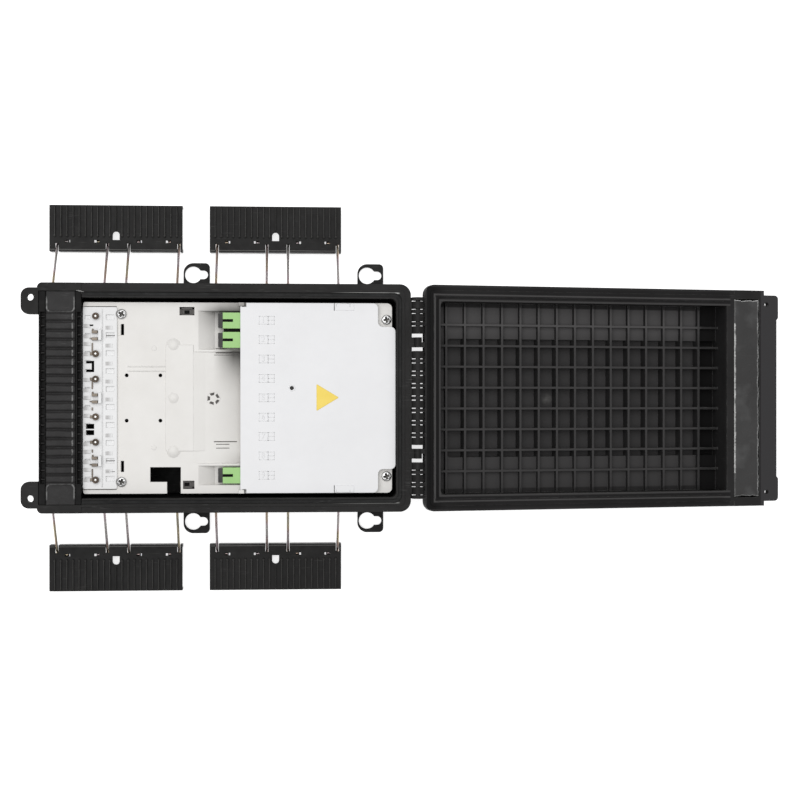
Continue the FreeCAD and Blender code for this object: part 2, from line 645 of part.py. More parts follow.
for side, s in SIDES.items():
    low, high = around(f"{s}*ear_place", "ear_width")
    ear = slab(
        f"ear_{side}",
        ("-base_end - ear_reach", "ear_root - base_end"),
        (low, high),
        ("rim_height - ear_depth", "rim_height"),
        near="ear_round",
    )
    ear_wall = block(
        f"ear_wall_{side}",
        ("-base_end", "ear_root - base_end"),
        (low, high),
        ("shelf_height - over", "rim_height"),
    )
    base_adds += [ear, ear_wall]
    base_cuts.append(
        rod(
            f"ear_hole_{side}",
            "ear_hole_radius",
            ALONG_Z,
            ("-base_end - ear_hole_out", f"{s}*ear_hole_place", "rim_height - ear_depth - over"),
            "ear_depth + 2*over",
        )
    )
    for n, start in enumerate(("keyhole_first", "keyhole_first + keyhole_spacing")):
        lug = slab(
            f"lug_{side}_{n}",
            (
                f"{start} - keyhole_radius - lug_skin",
                f"{start} + keyway_run + keyway_half + lug_end",
            ),
            beside(s, "wall_half - over", "lug_reach"),
            ("0", "lug_depth"),
        )
        middle = size(f"{start} + keyway_run/2")
        far_edge = size("lug_reach")
        round_edges(
            lug,
            "keyhole_radius + lug_skin",
            lambda a, b: upright(a, b) and a.x < middle and abs(abs(a.y) - far_edge) < 1e-6,
        )
        round_edges(
            lug,
            "keyway_half",
            lambda a, b: upright(a, b) and a.x > middle and abs(abs(a.y) - far_edge) < 1e-6,
        )
        base_adds.append(lug)
        place = (start, f"{s}*keyhole_place", "-over")
        slot_end = (f"{start} + keyway_run", f"{s}*keyhole_place", "-over")
        base_cuts += [
            rod(f"keyhole_{side}_{n}", "keyhole_radius", ALONG_Z, place, "lug_depth + 2*over"),
            rod(f"keyway_end_{side}_{n}", "keyway_half", ALONG_Z, slot_end, "lug_depth + 2*over"),
            block(
                f"keyway_{side}_{n}",
                (start, f"{start} + keyway_run"),
                around(f"{s}*keyhole_place", "2*keyway_half"),
                ("-over", "lug_depth + over"),
            ),
        ]
    for lever in ("lever_a", "lever_b"):
        for n, step in enumerate((-0.5, 0.5)):
            middle = f"{lever} + bail_shift + ({step})*bail_spread"
            tag = f"{side}_{lever[-1]}{n}"
            base_adds += [
                rod(
                    f"clip_{tag}",
                    "clip_radius",
                    ALONG_X,
                    (f"{middle} - clip_width/2", f"{s}*bail_y", "bail_z"),
                    "clip_width",
                ),
                block(
                    f"clip_arm_{tag}",
                    around(middle, "clip_width"),
                    beside(s, "wall_half - over", "bail_y"),
                    ("bail_z - clip_radius", "bail_z + clip_radius"),
                ),
            ]
            base_cuts += [
                rod(
                    f"clip_bore_{tag}",
                    "wire_radius + wire_play",
                    ALONG_X,
                    (f"{middle} - clip_width/2 - over", f"{s}*bail_y", "bail_z"),
                    "clip_width + 2*over",
                ),
                block(
                    f"clip_mouth_{tag}",
                    around(middle, "clip_width + 2*over"),
                    around(f"{s}*bail_y", "2*clip_mouth"),
                    ("bail_z - clip_radius - over", "bail_z"),
                ),
            ]
    for end, place in (("left", "screw_left_place"), ("right", "screw_right_place")):
        at = (f"screw_{end}", f"{s}*{place}", "floor_plate - over")
        post = "tray_top - tray_plate - floor_plate + over"
        base_adds.append(rod(f"post_{end}_{side}", "post_radius", ALONG_Z, at, post))
        bore = (f"screw_{end}", f"{s}*{place}", "tray_top - tray_plate - screw_bite - over")
        depth = "screw_bite + 2*over"
        base_cuts.append(rod(f"post_bore_{end}_{side}", "screw_radius", ALONG_Z, bore, depth))

# The pin's three runs: one between the large knuckles, and one past each of them
PIN_RUNS = (
    ("bottom", "-pin_half", "pin_half - hook_place*knuckle_pitch - hook_side"),
    ("middle", "hook_side - hook_place*knuckle_pitch", "2*(hook_place*knuckle_pitch - hook_side)"),
    ("top", "hook_place*knuckle_pitch + hook_side", "pin_half - hook_place*knuckle_pitch - hook_side"),
)
for k, y in knuckle_places(0.5):
    base_adds += [
        rod(
            f"base_knuckle_{k}",
            "knuckle_radius",
            ALONG_Y,
            ("hinge_x", f"{y} - wide_knuckle/2", "hinge_z"),
            "wide_knuckle",
        ),
        block(
            f"base_knuckle_arm_{k}",
            ("base_end - over", "hinge_x"),
            around(y, "wide_knuckle"),
            ("hinge_z - knuckle_radius", "rim_height"),
        ),
    ]
for side, s in SIDES.items():
    y = f"{s}*hook_place*knuckle_pitch"
    at = ("hinge_x", f"{y} - hook_knuckle/2", "hinge_z")
    base_adds += [
        rod(f"hook_knuckle_{side}", "hook_radius", ALONG_Y, at, "hook_knuckle"),
        block(
            f"hook_knuckle_arm_{side}",
            ("base_end - over", "hinge_x"),
            around(y, "hook_knuckle"),
            ("hinge_z - hook_radius", "rim_height"),
        ),
        block(
            f"hook_knuckle_toe_{side}",
            ("hinge_x", "hinge_x + hook_toe"),
            around(f"{y} - ({s})*hook_knuckle/4", "hook_knuckle/2"),
            around("hinge_z", "2*hook_toe_half"),
        ),
    ]
base_adds.append(
    block(
        "hinge_lip_bar",
        ("base_end - over", "base_end + hinge_lip"),
        ("-pin_half", "pin_half"),
        ("rim_height - flange_depth", "hinge_z - hinge_lip_drop"),
    )
)
for name, start, run in PIN_RUNS:
    at = ("hinge_x", start, "hinge_z")
    base_cuts.append(rod(f"base_pin_bore_{name}", "pin_radius + pin_fit", ALONG_Y, at, run))
gel_box = block(
    "gel_box",
    ("-base_end", "mouth_left"),
    ("-trough_half - wall", "trough_half + wall"),
    ("shelf_height - shelf_depth", "rim_height - flange_depth/2"),
)
base_solid = fuse("base_solid", tub, rim, gel_box)
base_open = cut("base_open", base_solid, *base_hollow)
base_full = fuse("base_full", base_open, *base_adds)
node("base_shell", cut("base_shell_piece", base_full, *base_cuts))

# Rim seal: a strip in the groove on the three sides that the gel leaves
seal_outer = slab(
    "seal_outer",
    ("mouth_left + seal_play", "groove_right - seal_play"),
    ("seal_play - groove_half", "groove_half - seal_play"),
    ("rim_height - groove_depth", "rim_height - groove_depth + seal_height"),
    far="hinge_corner/2 + 2 - seal_play",
)
seal_inner = slab(
    "seal_inner",
    ("mouth_left - over", "groove_right - groove_width + seal_play"),
    ("groove_width - groove_half - seal_play", "groove_half - groove_width + seal_play"),
    ("rim_height - groove_depth - over", "rim_height"),
    far="hinge_corner/2 + seal_play",
)
node("rim_seal", cut("rim_seal_piece", seal_outer, seal_inner))


# Cable end: a ridged gel block between two combs of fingers, on the shelf of the base
def comb(name, start, stop):
    bar = block(
        f"{name}_bar",
        (start, stop),
        ("gel_play - trough_half", "trough_half - gel_play"),
        ("shelf_height", "shelf_height + finger_bar"),
    )
    web = block(
        f"{name}_web",
        (f"{start} + web_in", f"{start} + web_in + web_depth"),
        ("gel_play - trough_half", "trough_half - gel_play"),
        ("shelf_height", "gel_top - web_drop"),
    )
    pieces = [bar, web]
    count = int(size("finger_count"))
    for k in range(count):
        centre = f"({k - (count - 1) / 2})*finger_pitch"
        pieces.append(
            block(
                f"{name}_finger_{k}",
                (start, stop),
                around(centre, "finger_width"),
                ("shelf_height", "gel_top"),
            )
        )
    cheek = "finger_count*finger_pitch/2"
    for side, s in SIDES.items():
        pieces.append(
            block(
                f"{name}_cheek_{side}",
                (start, stop),
                beside(s, cheek, "trough_half - gel_play"),
                ("shelf_height", "gel_top"),
            )
        )
    return fuse(f"{name}_piece", *pieces)


node("outer_comb", comb("outer_comb", "ear_root + gel_play - base_end", "gel_start - gel_play"))
node("inner_comb", comb("inner_comb", "gel_stop + gel_play", "mouth_left"))
gel = slab(
    "gel_block",
    ("gel_start", "gel_stop"),
    ("gel_play - trough_half", "trough_half - gel_play"),
    ("shelf_height", "gel_top"),
    near="groove_width",
    far="groove_width",
)
gel_cuts = []
finger_count = int(size("finger_count"))
for k in range(finger_count + 1):
    centre = f"({k - finger_count / 2})*finger_pitch"
    points = [
        (f"{centre} - gel_groove", "gel_top + over"),
        (f"{centre} - gel_groove", "gel_top"),
        (centre, "gel_top - gel_groove_depth"),
        (f"{centre} + gel_groove", "gel_top"),
        (f"{centre} + gel_groove", "gel_top + over"),
    ]
    run = "gel_length + 2*over"
    gel_cuts.append(profile(f"gel_cut_{k}", "YZ_Plane", "gel_start - over", points, run))
node("base_gel", cut("base_gel_piece", gel, *gel_cuts))

# Hinge pin: a steel rod in each run of knuckles
pins = []
for name, start, run in PIN_RUNS:
    pins.append(rod(f"hinge_pin_{name}", "pin_radius", ALONG_Y, ("hinge_x", start, "hinge_z"), run))
node("hinge_pin", gather("hinge_pin_group", pins))

# Lid shell, in its own frame: X from the hinge axis, Z up from the axis, roof below
lid_rim = "-rim_gap/2"
lid_skin = [
    slab(
        "lid_rim",
        ("lid_near", "lid_reach"),
        ("-half_width", "half_width"),
        (f"{lid_rim} - lid_flange", lid_rim),
        near="lid_corner",
    ),
    slab(
        "lid_shoulders",
        ("lid_mouth_near - lid_wall", "lid_reach"),
        ("-lid_wall_half", "lid_wall_half"),
        (f"{lid_rim} - shoulder_depth", f"{lid_rim} - over"),
        near="lid_corner",
    ),
    slab(
        "lid_roof",
        ("lid_mouth_near + lid_corner", "lid_reach"),
        ("-shoulder_place", "shoulder_place"),
        (f"{lid_rim} - lid_depth", f"{lid_rim} - 2*over"),
        near="lid_corner",
    ),
    block(
        "lid_gel_box",
        ("lid_gel_start - lid_wall", "lid_reach"),
        ("-lid_gel_half - lid_wall", "lid_gel_half + lid_wall"),
        (f"{lid_rim} - lid_gel_depth - lid_wall", f"{lid_rim} - over"),
    ),
    block(
        "lid_end_flange",
        ("lid_reach - over", "lid_end"),
        ("-ear_place", "ear_place"),
        (f"{lid_rim} - ear_depth", lid_rim),
    ),
]
lid_open = [
    slab(
        "lid_mouth",
        ("lid_mouth_near", "lid_bay_wall"),
        ("-lid_mouth_half", "lid_mouth_half"),
        (f"{lid_rim} - shoulder_depth + lid_wall", "over"),
        near="lid_corner/2",
    ),
    slab(
        "lid_middle",
        ("lid_mouth_near + lid_corner + lid_wall", "lid_bay_wall"),
        ("lid_wall - shoulder_place", "shoulder_place - lid_wall"),
        (f"{lid_rim} - lid_depth + lid_wall", "over"),
        near="lid_corner/2",
    ),
    block(
        "lid_gel_bed",
        ("lid_gel_start", "lid_gel_end"),
        ("-lid_gel_half", "lid_gel_half"),
        (f"{lid_rim} - lid_gel_depth", "over"),
    ),
]
lid_rebate_inner = slab(
    "lid_rebate_inner",
    ("lid_near + lid_rebate", "lid_reach + over"),
    ("lid_rebate - half_width", "half_width - lid_rebate"),
    (f"{lid_rim} - rebate_depth - over", "2*over"),
    near="lid_corner - lid_rebate",
)
lid_rebate_outer = block(
    "lid_rebate_outer",
    ("lid_near - over", "lid_gel_start"),
    ("-half_width - over", "half_width + over"),
    (f"{lid_rim} - rebate_depth", "over"),
)
lid_open.append(cut("lid_rebate", lid_rebate_outer, lid_rebate_inner))
ribs = []
for k in range(int(size("rib_count"))):
    ribs.append(
        block(
            f"cross_rib_{k}",
            around(f"rib_first + {k}*rib_pitch", "rib_width"),
            ("-lid_mouth_half - over", "lid_mouth_half + over"),
            (f"{lid_rim} - lid_depth + lid_wall/2", f"{lid_rim} - rib_top"),
        )
    )
long_count = int(size("long_rib_count"))
for k in range(long_count):
    ribs.append(
        block(
            f"long_rib_{k}",
            ("lid_mouth_near - over", "lid_bay_wall + over"),
            around(f"({k - (long_count - 1) / 2})*long_rib_pitch", "rib_width"),
            (f"{lid_rim} - lid_depth + lid_wall/2", f"{lid_rim} - rib_top"),
        )
    )
lid_body = fuse("lid_body", *lid_skin)
rib_grid = doc.addObject("Part::MultiCommon", "rib_grid")
rib_grid.Shapes = [lid_body, fuse("all_ribs", *ribs)]
lid_pieces = [cut("lid_hollow", lid_body, *lid_open), rib_grid]
lid_holes = []
for side, s in SIDES.items():
    lid_pieces.append(
        slab(
            f"lid_ear_{side}",
            ("lid_reach - over", "lid_ear_reach"),
            around(f"{s}*ear_place", "ear_width"),
            (f"{lid_rim} - ear_depth", lid_rim),
            far="ear_round/2",
        )
    )
    lid_holes.append(
        rod(
            f"lid_ear_hole_{side}",
            "lid_ear_radius",
            ALONG_Z,
            ("lid_ear_hole", f"{s}*ear_hole_place", "-ear_depth - over"),
            "ear_depth + 2*over",
        )
    )
for k, y in knuckle_places(0):
    lid_pieces += [
        rod(
            f"lid_knuckle_{k}",
            "knuckle_radius",
            ALONG_Y,
            ("0", f"{y} - narrow_knuckle/2", "0"),
            "narrow_knuckle",
        ),
        block(
            f"lid_knuckle_arm_{k}",
            ("0", "lid_near + over"),
            around(y, "narrow_knuckle"),
            ("-knuckle_radius", lid_rim),
        ),
    ]
lid_holes.append(
    rod(
        "lid_pin_bore",
        "pin_radius + pin_play",
        ALONG_Y,
        ("0", "-half_width", "0"),
        "base_width",
    )
)
# the tongue stands over the middle of the base's groove when the lid is shut
tongue_middle = "(groove_inset + groove_width/2)"
tongue_outer = slab(
    "tongue_outer",
    (f"hinge_gap + {tongue_middle} - tongue_width/2", "hinge_x - mouth_left - seal_play"),
    (
        f"-half_width + {tongue_middle} - tongue_width/2",
        f"half_width - {tongue_middle} + tongue_width/2",
    ),
    (f"{lid_rim} - over", f"{lid_rim} + tongue_height"),
    near="lid_corner/2 + tongue_width",
)
tongue_inner = slab(
    "tongue_inner",
    (f"hinge_gap + {tongue_middle} + tongue_width/2", "hinge_x - mouth_left + over"),
    (
        f"-half_width + {tongue_middle} + tongue_width/2",
        f"half_width - {tongue_middle} - tongue_width/2",
    ),
    (f"{lid_rim} - 2*over", f"{lid_rim} + tongue_height + over"),
    near="lid_corner/2",
)
lid_pieces.append(cut("tongue", tongue_outer, tongue_inner))
node("lid_shell", cut("lid_shell_piece", fuse("lid_full", *lid_pieces), *lid_holes), tilted=True)

# Lid gel: the soft strip that closes on the base's gel
node(
    "lid_gel",
    slab(
        "lid_gel_piece",
        ("lid_gel_start + gel_play", "lid_gel_end - gel_play"),
        ("gel_play - lid_gel_half", "lid_gel_half - gel_play"),
        (f"{lid_rim} - lid_gel_depth", f"{lid_rim} - gel_sink"),
        near="tray_skin",
        far="tray_skin",
    ),
    tilted=True,
)


# Latches: a ribbed lever on two wire bails, in its open place beside the base
def lever(name, middle, s):
    """A lever lying on its toe and grip edge, its ribbed face up."""

    def y(out):
        return f"{s}*(lever_place + ({out}))"

    def band(low, high):
        return (y(low), y(high)) if s > 0 else (y(high), y(low))

    ends = around(middle, "lever_length")
    floor = "floor_gap"
    plate = "open_z + plate_rise"
    face = f"{plate} + plate_depth"
    outline = [
        (y("-lever_lip"), floor),
        (y("toe_width - lever_lip"), floor),
        (y("toe_width - lever_lip"), plate),
        (y("lever_reach - grip_width"), plate),
        (y("lever_reach - grip_width"), floor),
        (y("lever_reach"), floor),
        (y("lever_reach"), face),
        (y("-lever_lip"), face),
    ]
    body = profile(f"{name}_section", "YZ_Plane", ends[0], outline, "lever_length")
    adds = [body]
    cuts = []
    count = int(size("lever_length/grip_rib_pitch"))
    notches = [
        f"{middle} + bail_shift + ({bail})*bail_spread + ({leg})*bail_width"
        for bail in (-0.5, 0.5)
        for leg in (-0.5, 0.5)
    ]
    for k in range(count):
        centre = f"{middle} + ({k - (count - 1) / 2})*grip_rib_pitch"
        start = "grip_rib_start"
        if abs(size(f"{centre} - ({middle})")) < size("slot_half + grip_rib_width"):
            start = "slot_start + slot_run + slot_half + grip_rib_width"
        adds.append(
            block(
                f"{name}_rib_{k}",
                around(centre, "grip_rib_width"),
                band(start, "lever_reach - grip_rib_end"),
                (plate, f"{face} + grip_rib"),
            )
        )
    for n, leg in enumerate(notches):
        inward = 1 if n % 2 == 0 else -1
        near, far = f"{leg} - ({inward})*notch_out", f"{leg} + ({inward})*(wire_bend + corner_room)"
        low, high = (near, far) if inward > 0 else (far, near)
        cuts.append(
            block(
                f"{name}_notch_{n}",
                (low, high),
                band("-lever_lip - over", "-notch_back"),
                ("0", f"{face} + over"),
            )
        )
        cuts.append(
            block(
                f"{name}_grip_notch_{n}",
                around(leg, "2*wire_radius + 2*notch_side"),
                band("lever_reach - grip_width - over", "lever_reach + over"),
                ("0", "open_z - grip_notch"),
            )
        )
        start = f"{leg} + ({inward})*(wire_bend + hook_room)"
        stop = f"{leg} + ({inward})*(wire_bend + hook_length + hook_room)"
        low, high = (start, stop) if inward > 0 else (stop, start)
        adds += [
            rod(f"{name}_boss_{n}", "boss_radius", ALONG_X, (low, y("0"), "open_z"), span(low, high)),
            block(
                f"{name}_boss_web_{n}",
                (low, high),
                band("-boss_radius", "boss_radius"),
                ("open_z", f"{plate} + lap"),
            ),
        ]
        cuts.append(
            rod(
                f"{name}_bore_{n}",
                "wire_radius + wire_play",
                ALONG_X,
                (f"{low} - over", y("0"), "open_z"),
                f"{span(low, high)} + 2*over",
            )
        )
    for n, step in enumerate((-0.5, 0.5)):
        centre = f"{middle} + bail_shift + ({step})*bail_spread"
        for m, way in enumerate((-1, 1)):
            cuts.append(
                block(
                    f"{name}_window_{n}{m}",
                    around(f"{centre} + ({way})*window_place", "window_run"),
                    band("-wire_radius", "wire_radius"),
                    ("open_z", f"{face} + over"),
                )
            )
    cuts += [
        block(
            f"{name}_slot",
            around(middle, "2*slot_half"),
            band("slot_start", "slot_start + slot_run"),
            ("0", f"{face} + over"),
        ),
        rod(
            f"{name}_slot_end",
            "slot_half",
            ALONG_Z,
            (middle, y("slot_start + slot_run"), "0"),
            f"{face} + over",
        ),
    ]
    return cut(f"{name}_piece", fuse(f"{name}_solid", *adds), *cuts)


def bail(name, middle, s):
    """A wire: hook, leg, corner, bar through the clip, corner, leg, hook."""
    half = size("bail_width/2")
    bend = size("wire_bend")
    bar = Vector(0, s * size("bail_y"), size("bail_z"))
    pivot = Vector(0, s * size("lever_place"), size("open_z"))
    along = (pivot - bar).normalize()
    out = Vector(1, 0, 0)
    hook = bend + size("hook_length")
    centre = Vector(size(middle), 0, 0)
    bend_mid = bend * (1 - 0.5**0.5)

    def leg_side(way):
        """Points of one leg, from the bar's middle to the hook's tip."""
        corner = centre + bar + out * (way * half)
        elbow = centre + pivot + out * (way * half)
        return [
            centre + bar,
            corner - out * (way * bend),
            corner - out * (way * bend_mid) + along * bend_mid,
            corner + along * bend,
            elbow - along * bend,
            elbow - along * bend_mid - out * (way * bend_mid),
            elbow - out * (way * bend),
            elbow - out * (way * hook),
        ]

    edges = []
    for way in (-1, 1):
        p = leg_side(way)
        runs = [
            Part.LineSegment(p[0], p[1]),
            Part.Arc(p[1], p[2], p[3]),
            Part.LineSegment(p[3], p[4]),
            Part.Arc(p[4], p[5], p[6]),
            Part.LineSegment(p[6], p[7]),
        ]
        edges.append([run.toShape() for run in runs])
    path = Part.Wire(list(reversed(edges[0])) + edges[1])
    tip = leg_side(-1)[-1]
    ring = Part.Wire([Part.makeCircle(size("wire_radius"), tip, out)])
    thing = doc.addObject("Part::Feature", name)
    thing.Shape = path.makePipeShell([ring], True, False)
    return thing


for side, s in SIDES.items():
    for tag, middle in (("left", "lever_a"), ("right", "lever_b")):
        name = f"latch_lever_{side}_{tag}"
        node(name, lever(name, middle, s))
        for n, step in enumerate((-0.5, 0.5), start=1):
            name = f"latch_bail_{side}_{tag}_{n}"
            node(name, bail(f"{name}_wire", f"{middle} + bail_shift + ({step})*bail_spread", s))

# Splice tray: a skirted plate with an adapter bay, a splice well and the cover's hinge lugs
tray_body = slab(
    "tray_body",
    ("tray_left", "tray_end"),
    ("-tray_half", "tray_half"),
    ("tray_foot", "tray_top"),
    near="tray_skin",
    far="cover_round",
)
bay_high = "adapter_places/2*adapter_pitch"
bay_top_low = f"{bay_high} - 2*adapter_pitch"
# a bay's floor ramps down from the tray top to where the adapters lie
bay_section = [
    ("bay_start", "tray_top"),
    ("bay_start + bay_ramp", "bay_floor"),
    ("well_start - tray_skin", "bay_floor"),
    ("well_start - tray_skin", "tray_top + over"),
    ("bay_start", "tray_top + over"),
]
tray_cuts = [
    block(
        "tray_under",
        ("tray_left + tray_skin", "bay_start - tray_skin"),
        ("tray_skin - tray_half", "tray_half - tray_skin"),
        ("tray_foot - over", "tray_top - tray_plate"),
    ),
    block(
        "bay_under",
        ("bay_start - tray_skin - over", "well_start - 2*tray_skin"),
        (f"adapter_pitch + tray_skin - {bay_high}", f"{bay_top_low} - tray_skin"),
        ("tray_foot - over", "bay_floor"),
    ),
    profile("bay_upper", "XZ_Plane", f"-{bay_high}", bay_section, "2*adapter_pitch"),
    profile("bay_lower", "XZ_Plane", f"{bay_high} - adapter_pitch", bay_section, "adapter_pitch"),
    block(
        "well",
        ("well_start", "well_end"),
        ("-well_half", "well_half"),
        ("well_floor", "tray_top + over"),
    ),
]
tray_adds = []
for side, s in SIDES.items():
    for end, place in (("left", "screw_left_place"), ("right", "screw_right_place")):
        at = (f"screw_{end}", f"{s}*{place}", "tray_foot - over")
        hole = "screw_radius + seal_play"
        tray_cuts.append(rod(f"tray_hole_{end}_{side}", hole, ALONG_Z, at, "tray_skirt + 2*over"))
        if end == "right":
            room = "tray_skirt - tray_plate + over"
            tray_cuts.append(rod(f"post_room_{side}", "post_radius + tray_play", ALONG_Z, at, room))
    lug = block(
        f"cover_lug_{side}",
        around("cover_axis_x", "cover_lug"),
        beside(s, "cover_half - stub_length + cover_lug_room", "cover_half + cover_lug_side"),
        ("tray_top - over", "cover_axis_z + stub_radius + cover_lug_top"),
    )
    tray_adds.append(lug)
    tray_cuts.append(
        rod(
            f"cover_lug_bore_{side}",
            "stub_radius + stub_play",
            ALONG_Y,
            ("cover_axis_x", f"{s}*cover_half - cover_lug", "cover_axis_z"),
            "2*cover_lug",
        )
    )
    drum = cut(
        f"drum_{side}",
        rod(
            f"drum_out_{side}",
            "drum_radius",
            ALONG_Z,
            ("holder_start - drum_radius - drum_gap", f"{s}*holder_place", "well_floor - over"),
            "holder_height",
        ),
        rod(
            f"drum_in_{side}",
            "drum_radius - drum_skin",
            ALONG_Z,
            ("holder_start - drum_radius - drum_gap", f"{s}*holder_place", "well_floor - 2*over"),
            "holder_height + 2*over",
        ),
    )
    tray_adds.append(drum)
adapter_middle = {
    "1": "(adapter_places - 1)/2*adapter_pitch",
    "2": "(adapter_places - 3)/2*adapter_pitch",
    "9": "(1 - adapter_places)/2*adapter_pitch",
}
for k in adapter_middle:
    tray_cuts.append(
        block(
            f"adapter_gate_{k}",
            ("well_start - tray_skin - over", "well_start + over"),
            around(adapter_middle[k], "adapter_width + 2*cap_play"),
            ("bay_floor", "tray_top + over"),
        )
    )
through = ("tray_foot - over", "tray_top + 2*over")
# the sloping floor between the adapter bays
slope = [
    ("bay_start - slope_lead", "tray_top"),
    ("well_start - tray_skin", "tray_top - slope_drop"),
    ("well_start - tray_skin", "tray_top + over"),
    ("bay_start - slope_lead", "tray_top + over"),
]
slope_high = f"{bay_top_low} - tray_skin"
slope_width = f"{slope_high} + {bay_high} - adapter_pitch - tray_skin"
tray_cuts.append(profile("tray_slope", "XZ_Plane", f"-({slope_high})", slope, slope_width))
# the low step left of the slope, with three round bosses on its edge
tray_adds.append(
    slab(
        "tray_step",
        ("step_start", "bay_start - slope_lead"),
        ("-step_half", "step_half"),
        ("tray_top - lap", "tray_top + step_rise"),
        near="tray_skin",
    )
)
for n, y in enumerate(("step_half", "0", "-step_half")):
    middle = "step_start + step_boss + tray_skin"
    ball = doc.addObject("Part::Sphere", f"step_ball_{n}")
    bind(ball, "Radius", "boss_ball")
    for axis, place in zip("xyz", (middle, y, "tray_top + step_rise + boss_rise - boss_ball")):
        bind(ball, "Placement.Base." + axis, place)
    cap = doc.addObject("Part::MultiCommon", f"step_boss_{n}")
    above = ("tray_top - lap", "tray_top + step_rise + boss_rise + over")
    cap.Shapes = [
        ball,
        block(f"step_boss_room_{n}", around(middle, "4*step_boss"), around(y, "4*step_boss"), above),
    ]
    tray_adds.append(cap)
# two guide lines and the small stops beside the bays
for n, y in enumerate(("guide_place", "guide_place + guide_gap")):
    tray_adds.append(
        block(
            f"tray_guide_{n}",
            ("screw_left + post_radius", "step_start + over"),
            around(y, "guide_width"),
            ("tray_top - lap", "tray_top + guide_rise"),
        )
    )
# round vent in the slope
for n in range(int(size("vent_count"))):
    turn = f"{n}*360/vent_count"
    at = (f"vent_place + vent_ring*cos({turn})", f"vent_ring*sin({turn})", "tray_foot - over")
    tray_cuts.append(rod(f"vent_hole_{n}", "vent_radius", ALONG_Z, at, "tray_skirt + 2*over"))
# the cut-out with its way out to the edge, windows, reliefs, and room under the snap slots
cutout = ("tray_left + cutout_in", "tray_left + cutout_in + cutout_length")
windows = [
    (cutout, ("cutout_edge - tray_half", "cutout_edge + cutout_width - tray_half")),
    ((f"{cutout[1]} - cutout_gate", cutout[1]), ("-tray_half - over", "cutout_edge + 1 - tray_half")),
    (
        (f"{cutout[1]} - over", f"{cutout[1]} - 1 + window_length"),
        ("tray_half - window_edge - window_width", "tray_half - window_edge"),
    ),
    (
        (f"{cutout[1]} + tray_skin", f"{cutout[1]} - 1 + window_length"),
        ("window_edge - tray_half", "window_edge + window_width - tray_half"),
    ),
    (around("clamp_place - snap_middle", "snap_length"), around("clamp_pitch/2", "snap_room")),
    (around("clamp_place - snap_middle", "snap_length"), around("-clamp_pitch/2", "snap_room")),
]
relief = ("tray_left + relief_in", "tray_left + relief_in + relief_length")
for s in SIDES.values():
    windows.append((relief, around(f"({s})*(tray_half - relief_edge)", "relief_width")))
for n, (x, y) in enumerate(windows):
    tray_cuts.append(block(f"tray_window_{n}", x, y, through))
for n, x in enumerate(("round_in", "round_in + round_run")):
    for side, s in SIDES.items():
        at = (f"tray_left + {x}", f"({s})*round_place", "tray_foot")
        depth = "tray_skirt + over"
        tray_cuts.append(rod(f"tray_round_{n}_{side}", "screw_radius", ALONG_Z, at, depth))
node("splice_tray", cut("splice_tray_piece", fuse("tray_solid", tray_body, *tray_adds), *tray_cuts))

# Cable strip: the ladder of tie slots at the cable end
strip = slab(
    "strip_plate",
    ("tray_left", "strip_end"),
    ("-strip_half", "strip_half"),
    ("tray_top", "strip_top"),
    near="tray_skin",
    far="tray_skin",
)
strip_cuts = []
tie_count = int(size("tie_count"))
for k in range(tie_count):
    strip_cuts.append(
        block(
            f"tie_slot_{k}",
            ("tie_start", "tie_start + tie_length"),
            around(f"({k - (tie_count - 1) / 2})*tie_pitch", "tie_width"),
            ("strip_top - pocket_depth", "strip_top + over"),
        )
    )
for k in range(finger_count):
    strip_cuts.append(
        block(
            f"fibre_pocket_{k}",
            ("tray_left + fibre_in", "tray_left + fibre_in + fibre_pocket"),
            around(f"({k - (finger_count - 1) / 2})*finger_pitch", "finger_width"),
            ("strip_top - pocket_depth", "strip_top + over"),
        )
    )
strip_adds = [
    block(
        "strip_line",
        around("tie_start - line_in", "tray_skin/2"),
        ("tray_skin - strip_half", "strip_half - tray_skin"),
        ("strip_top - lap", "strip_top + step_rise"),
    )
]
clamp_count = int(size("clamp_count"))
for k in range(clamp_count):
    strip_adds.append(
        block(
            f"strip_upright_{k}",
            ("tie_start - upright_in", "tie_start - upright_in + upright_depth"),
            around(f"({(clamp_count - 1) / 2 - k})*clamp_pitch", "upright_width"),
            ("strip_top - lap", "strip_top + upright_height"),
        )
    )
# snap slots: one bracket-shaped, two short ones
snap_high = ("tray_foot - over", "strip_top + over")
snap_x = around("clamp_place - snap_middle", "snap_length - snap_edge")
snap_slots = [
    (snap_x, around("clamp_pitch/2 - snap_half", "snap_width")),
    (snap_x, around("clamp_pitch/2 + snap_half", "snap_width")),
    ((f"{snap_x[1]} - snap_width", snap_x[1]), around("clamp_pitch/2", "2*snap_half")),
    (snap_x, around("-clamp_pitch/2 - snap_half + snap_width/2", "2*snap_width")),
    (snap_x, around("-clamp_pitch/2 + snap_half - snap_width/2", "2*snap_width")),
]
for side, s in SIDES.items():
    at = ("screw_left", f"{s}*screw_left_place", "tray_top - over")
    room = "screw_head + tray_play"
    strip_cuts.append(rod(f"strip_screw_room_{side}", room, ALONG_Z, at, "strip_depth + 2*over"))
for n, (x, y) in enumerate(snap_slots):
    strip_cuts.append(block(f"snap_slot_{n}", x, y, snap_high))
node("cable_strip", cut("cable_strip_piece", fuse("strip_solid", strip, *strip_adds), *strip_cuts))

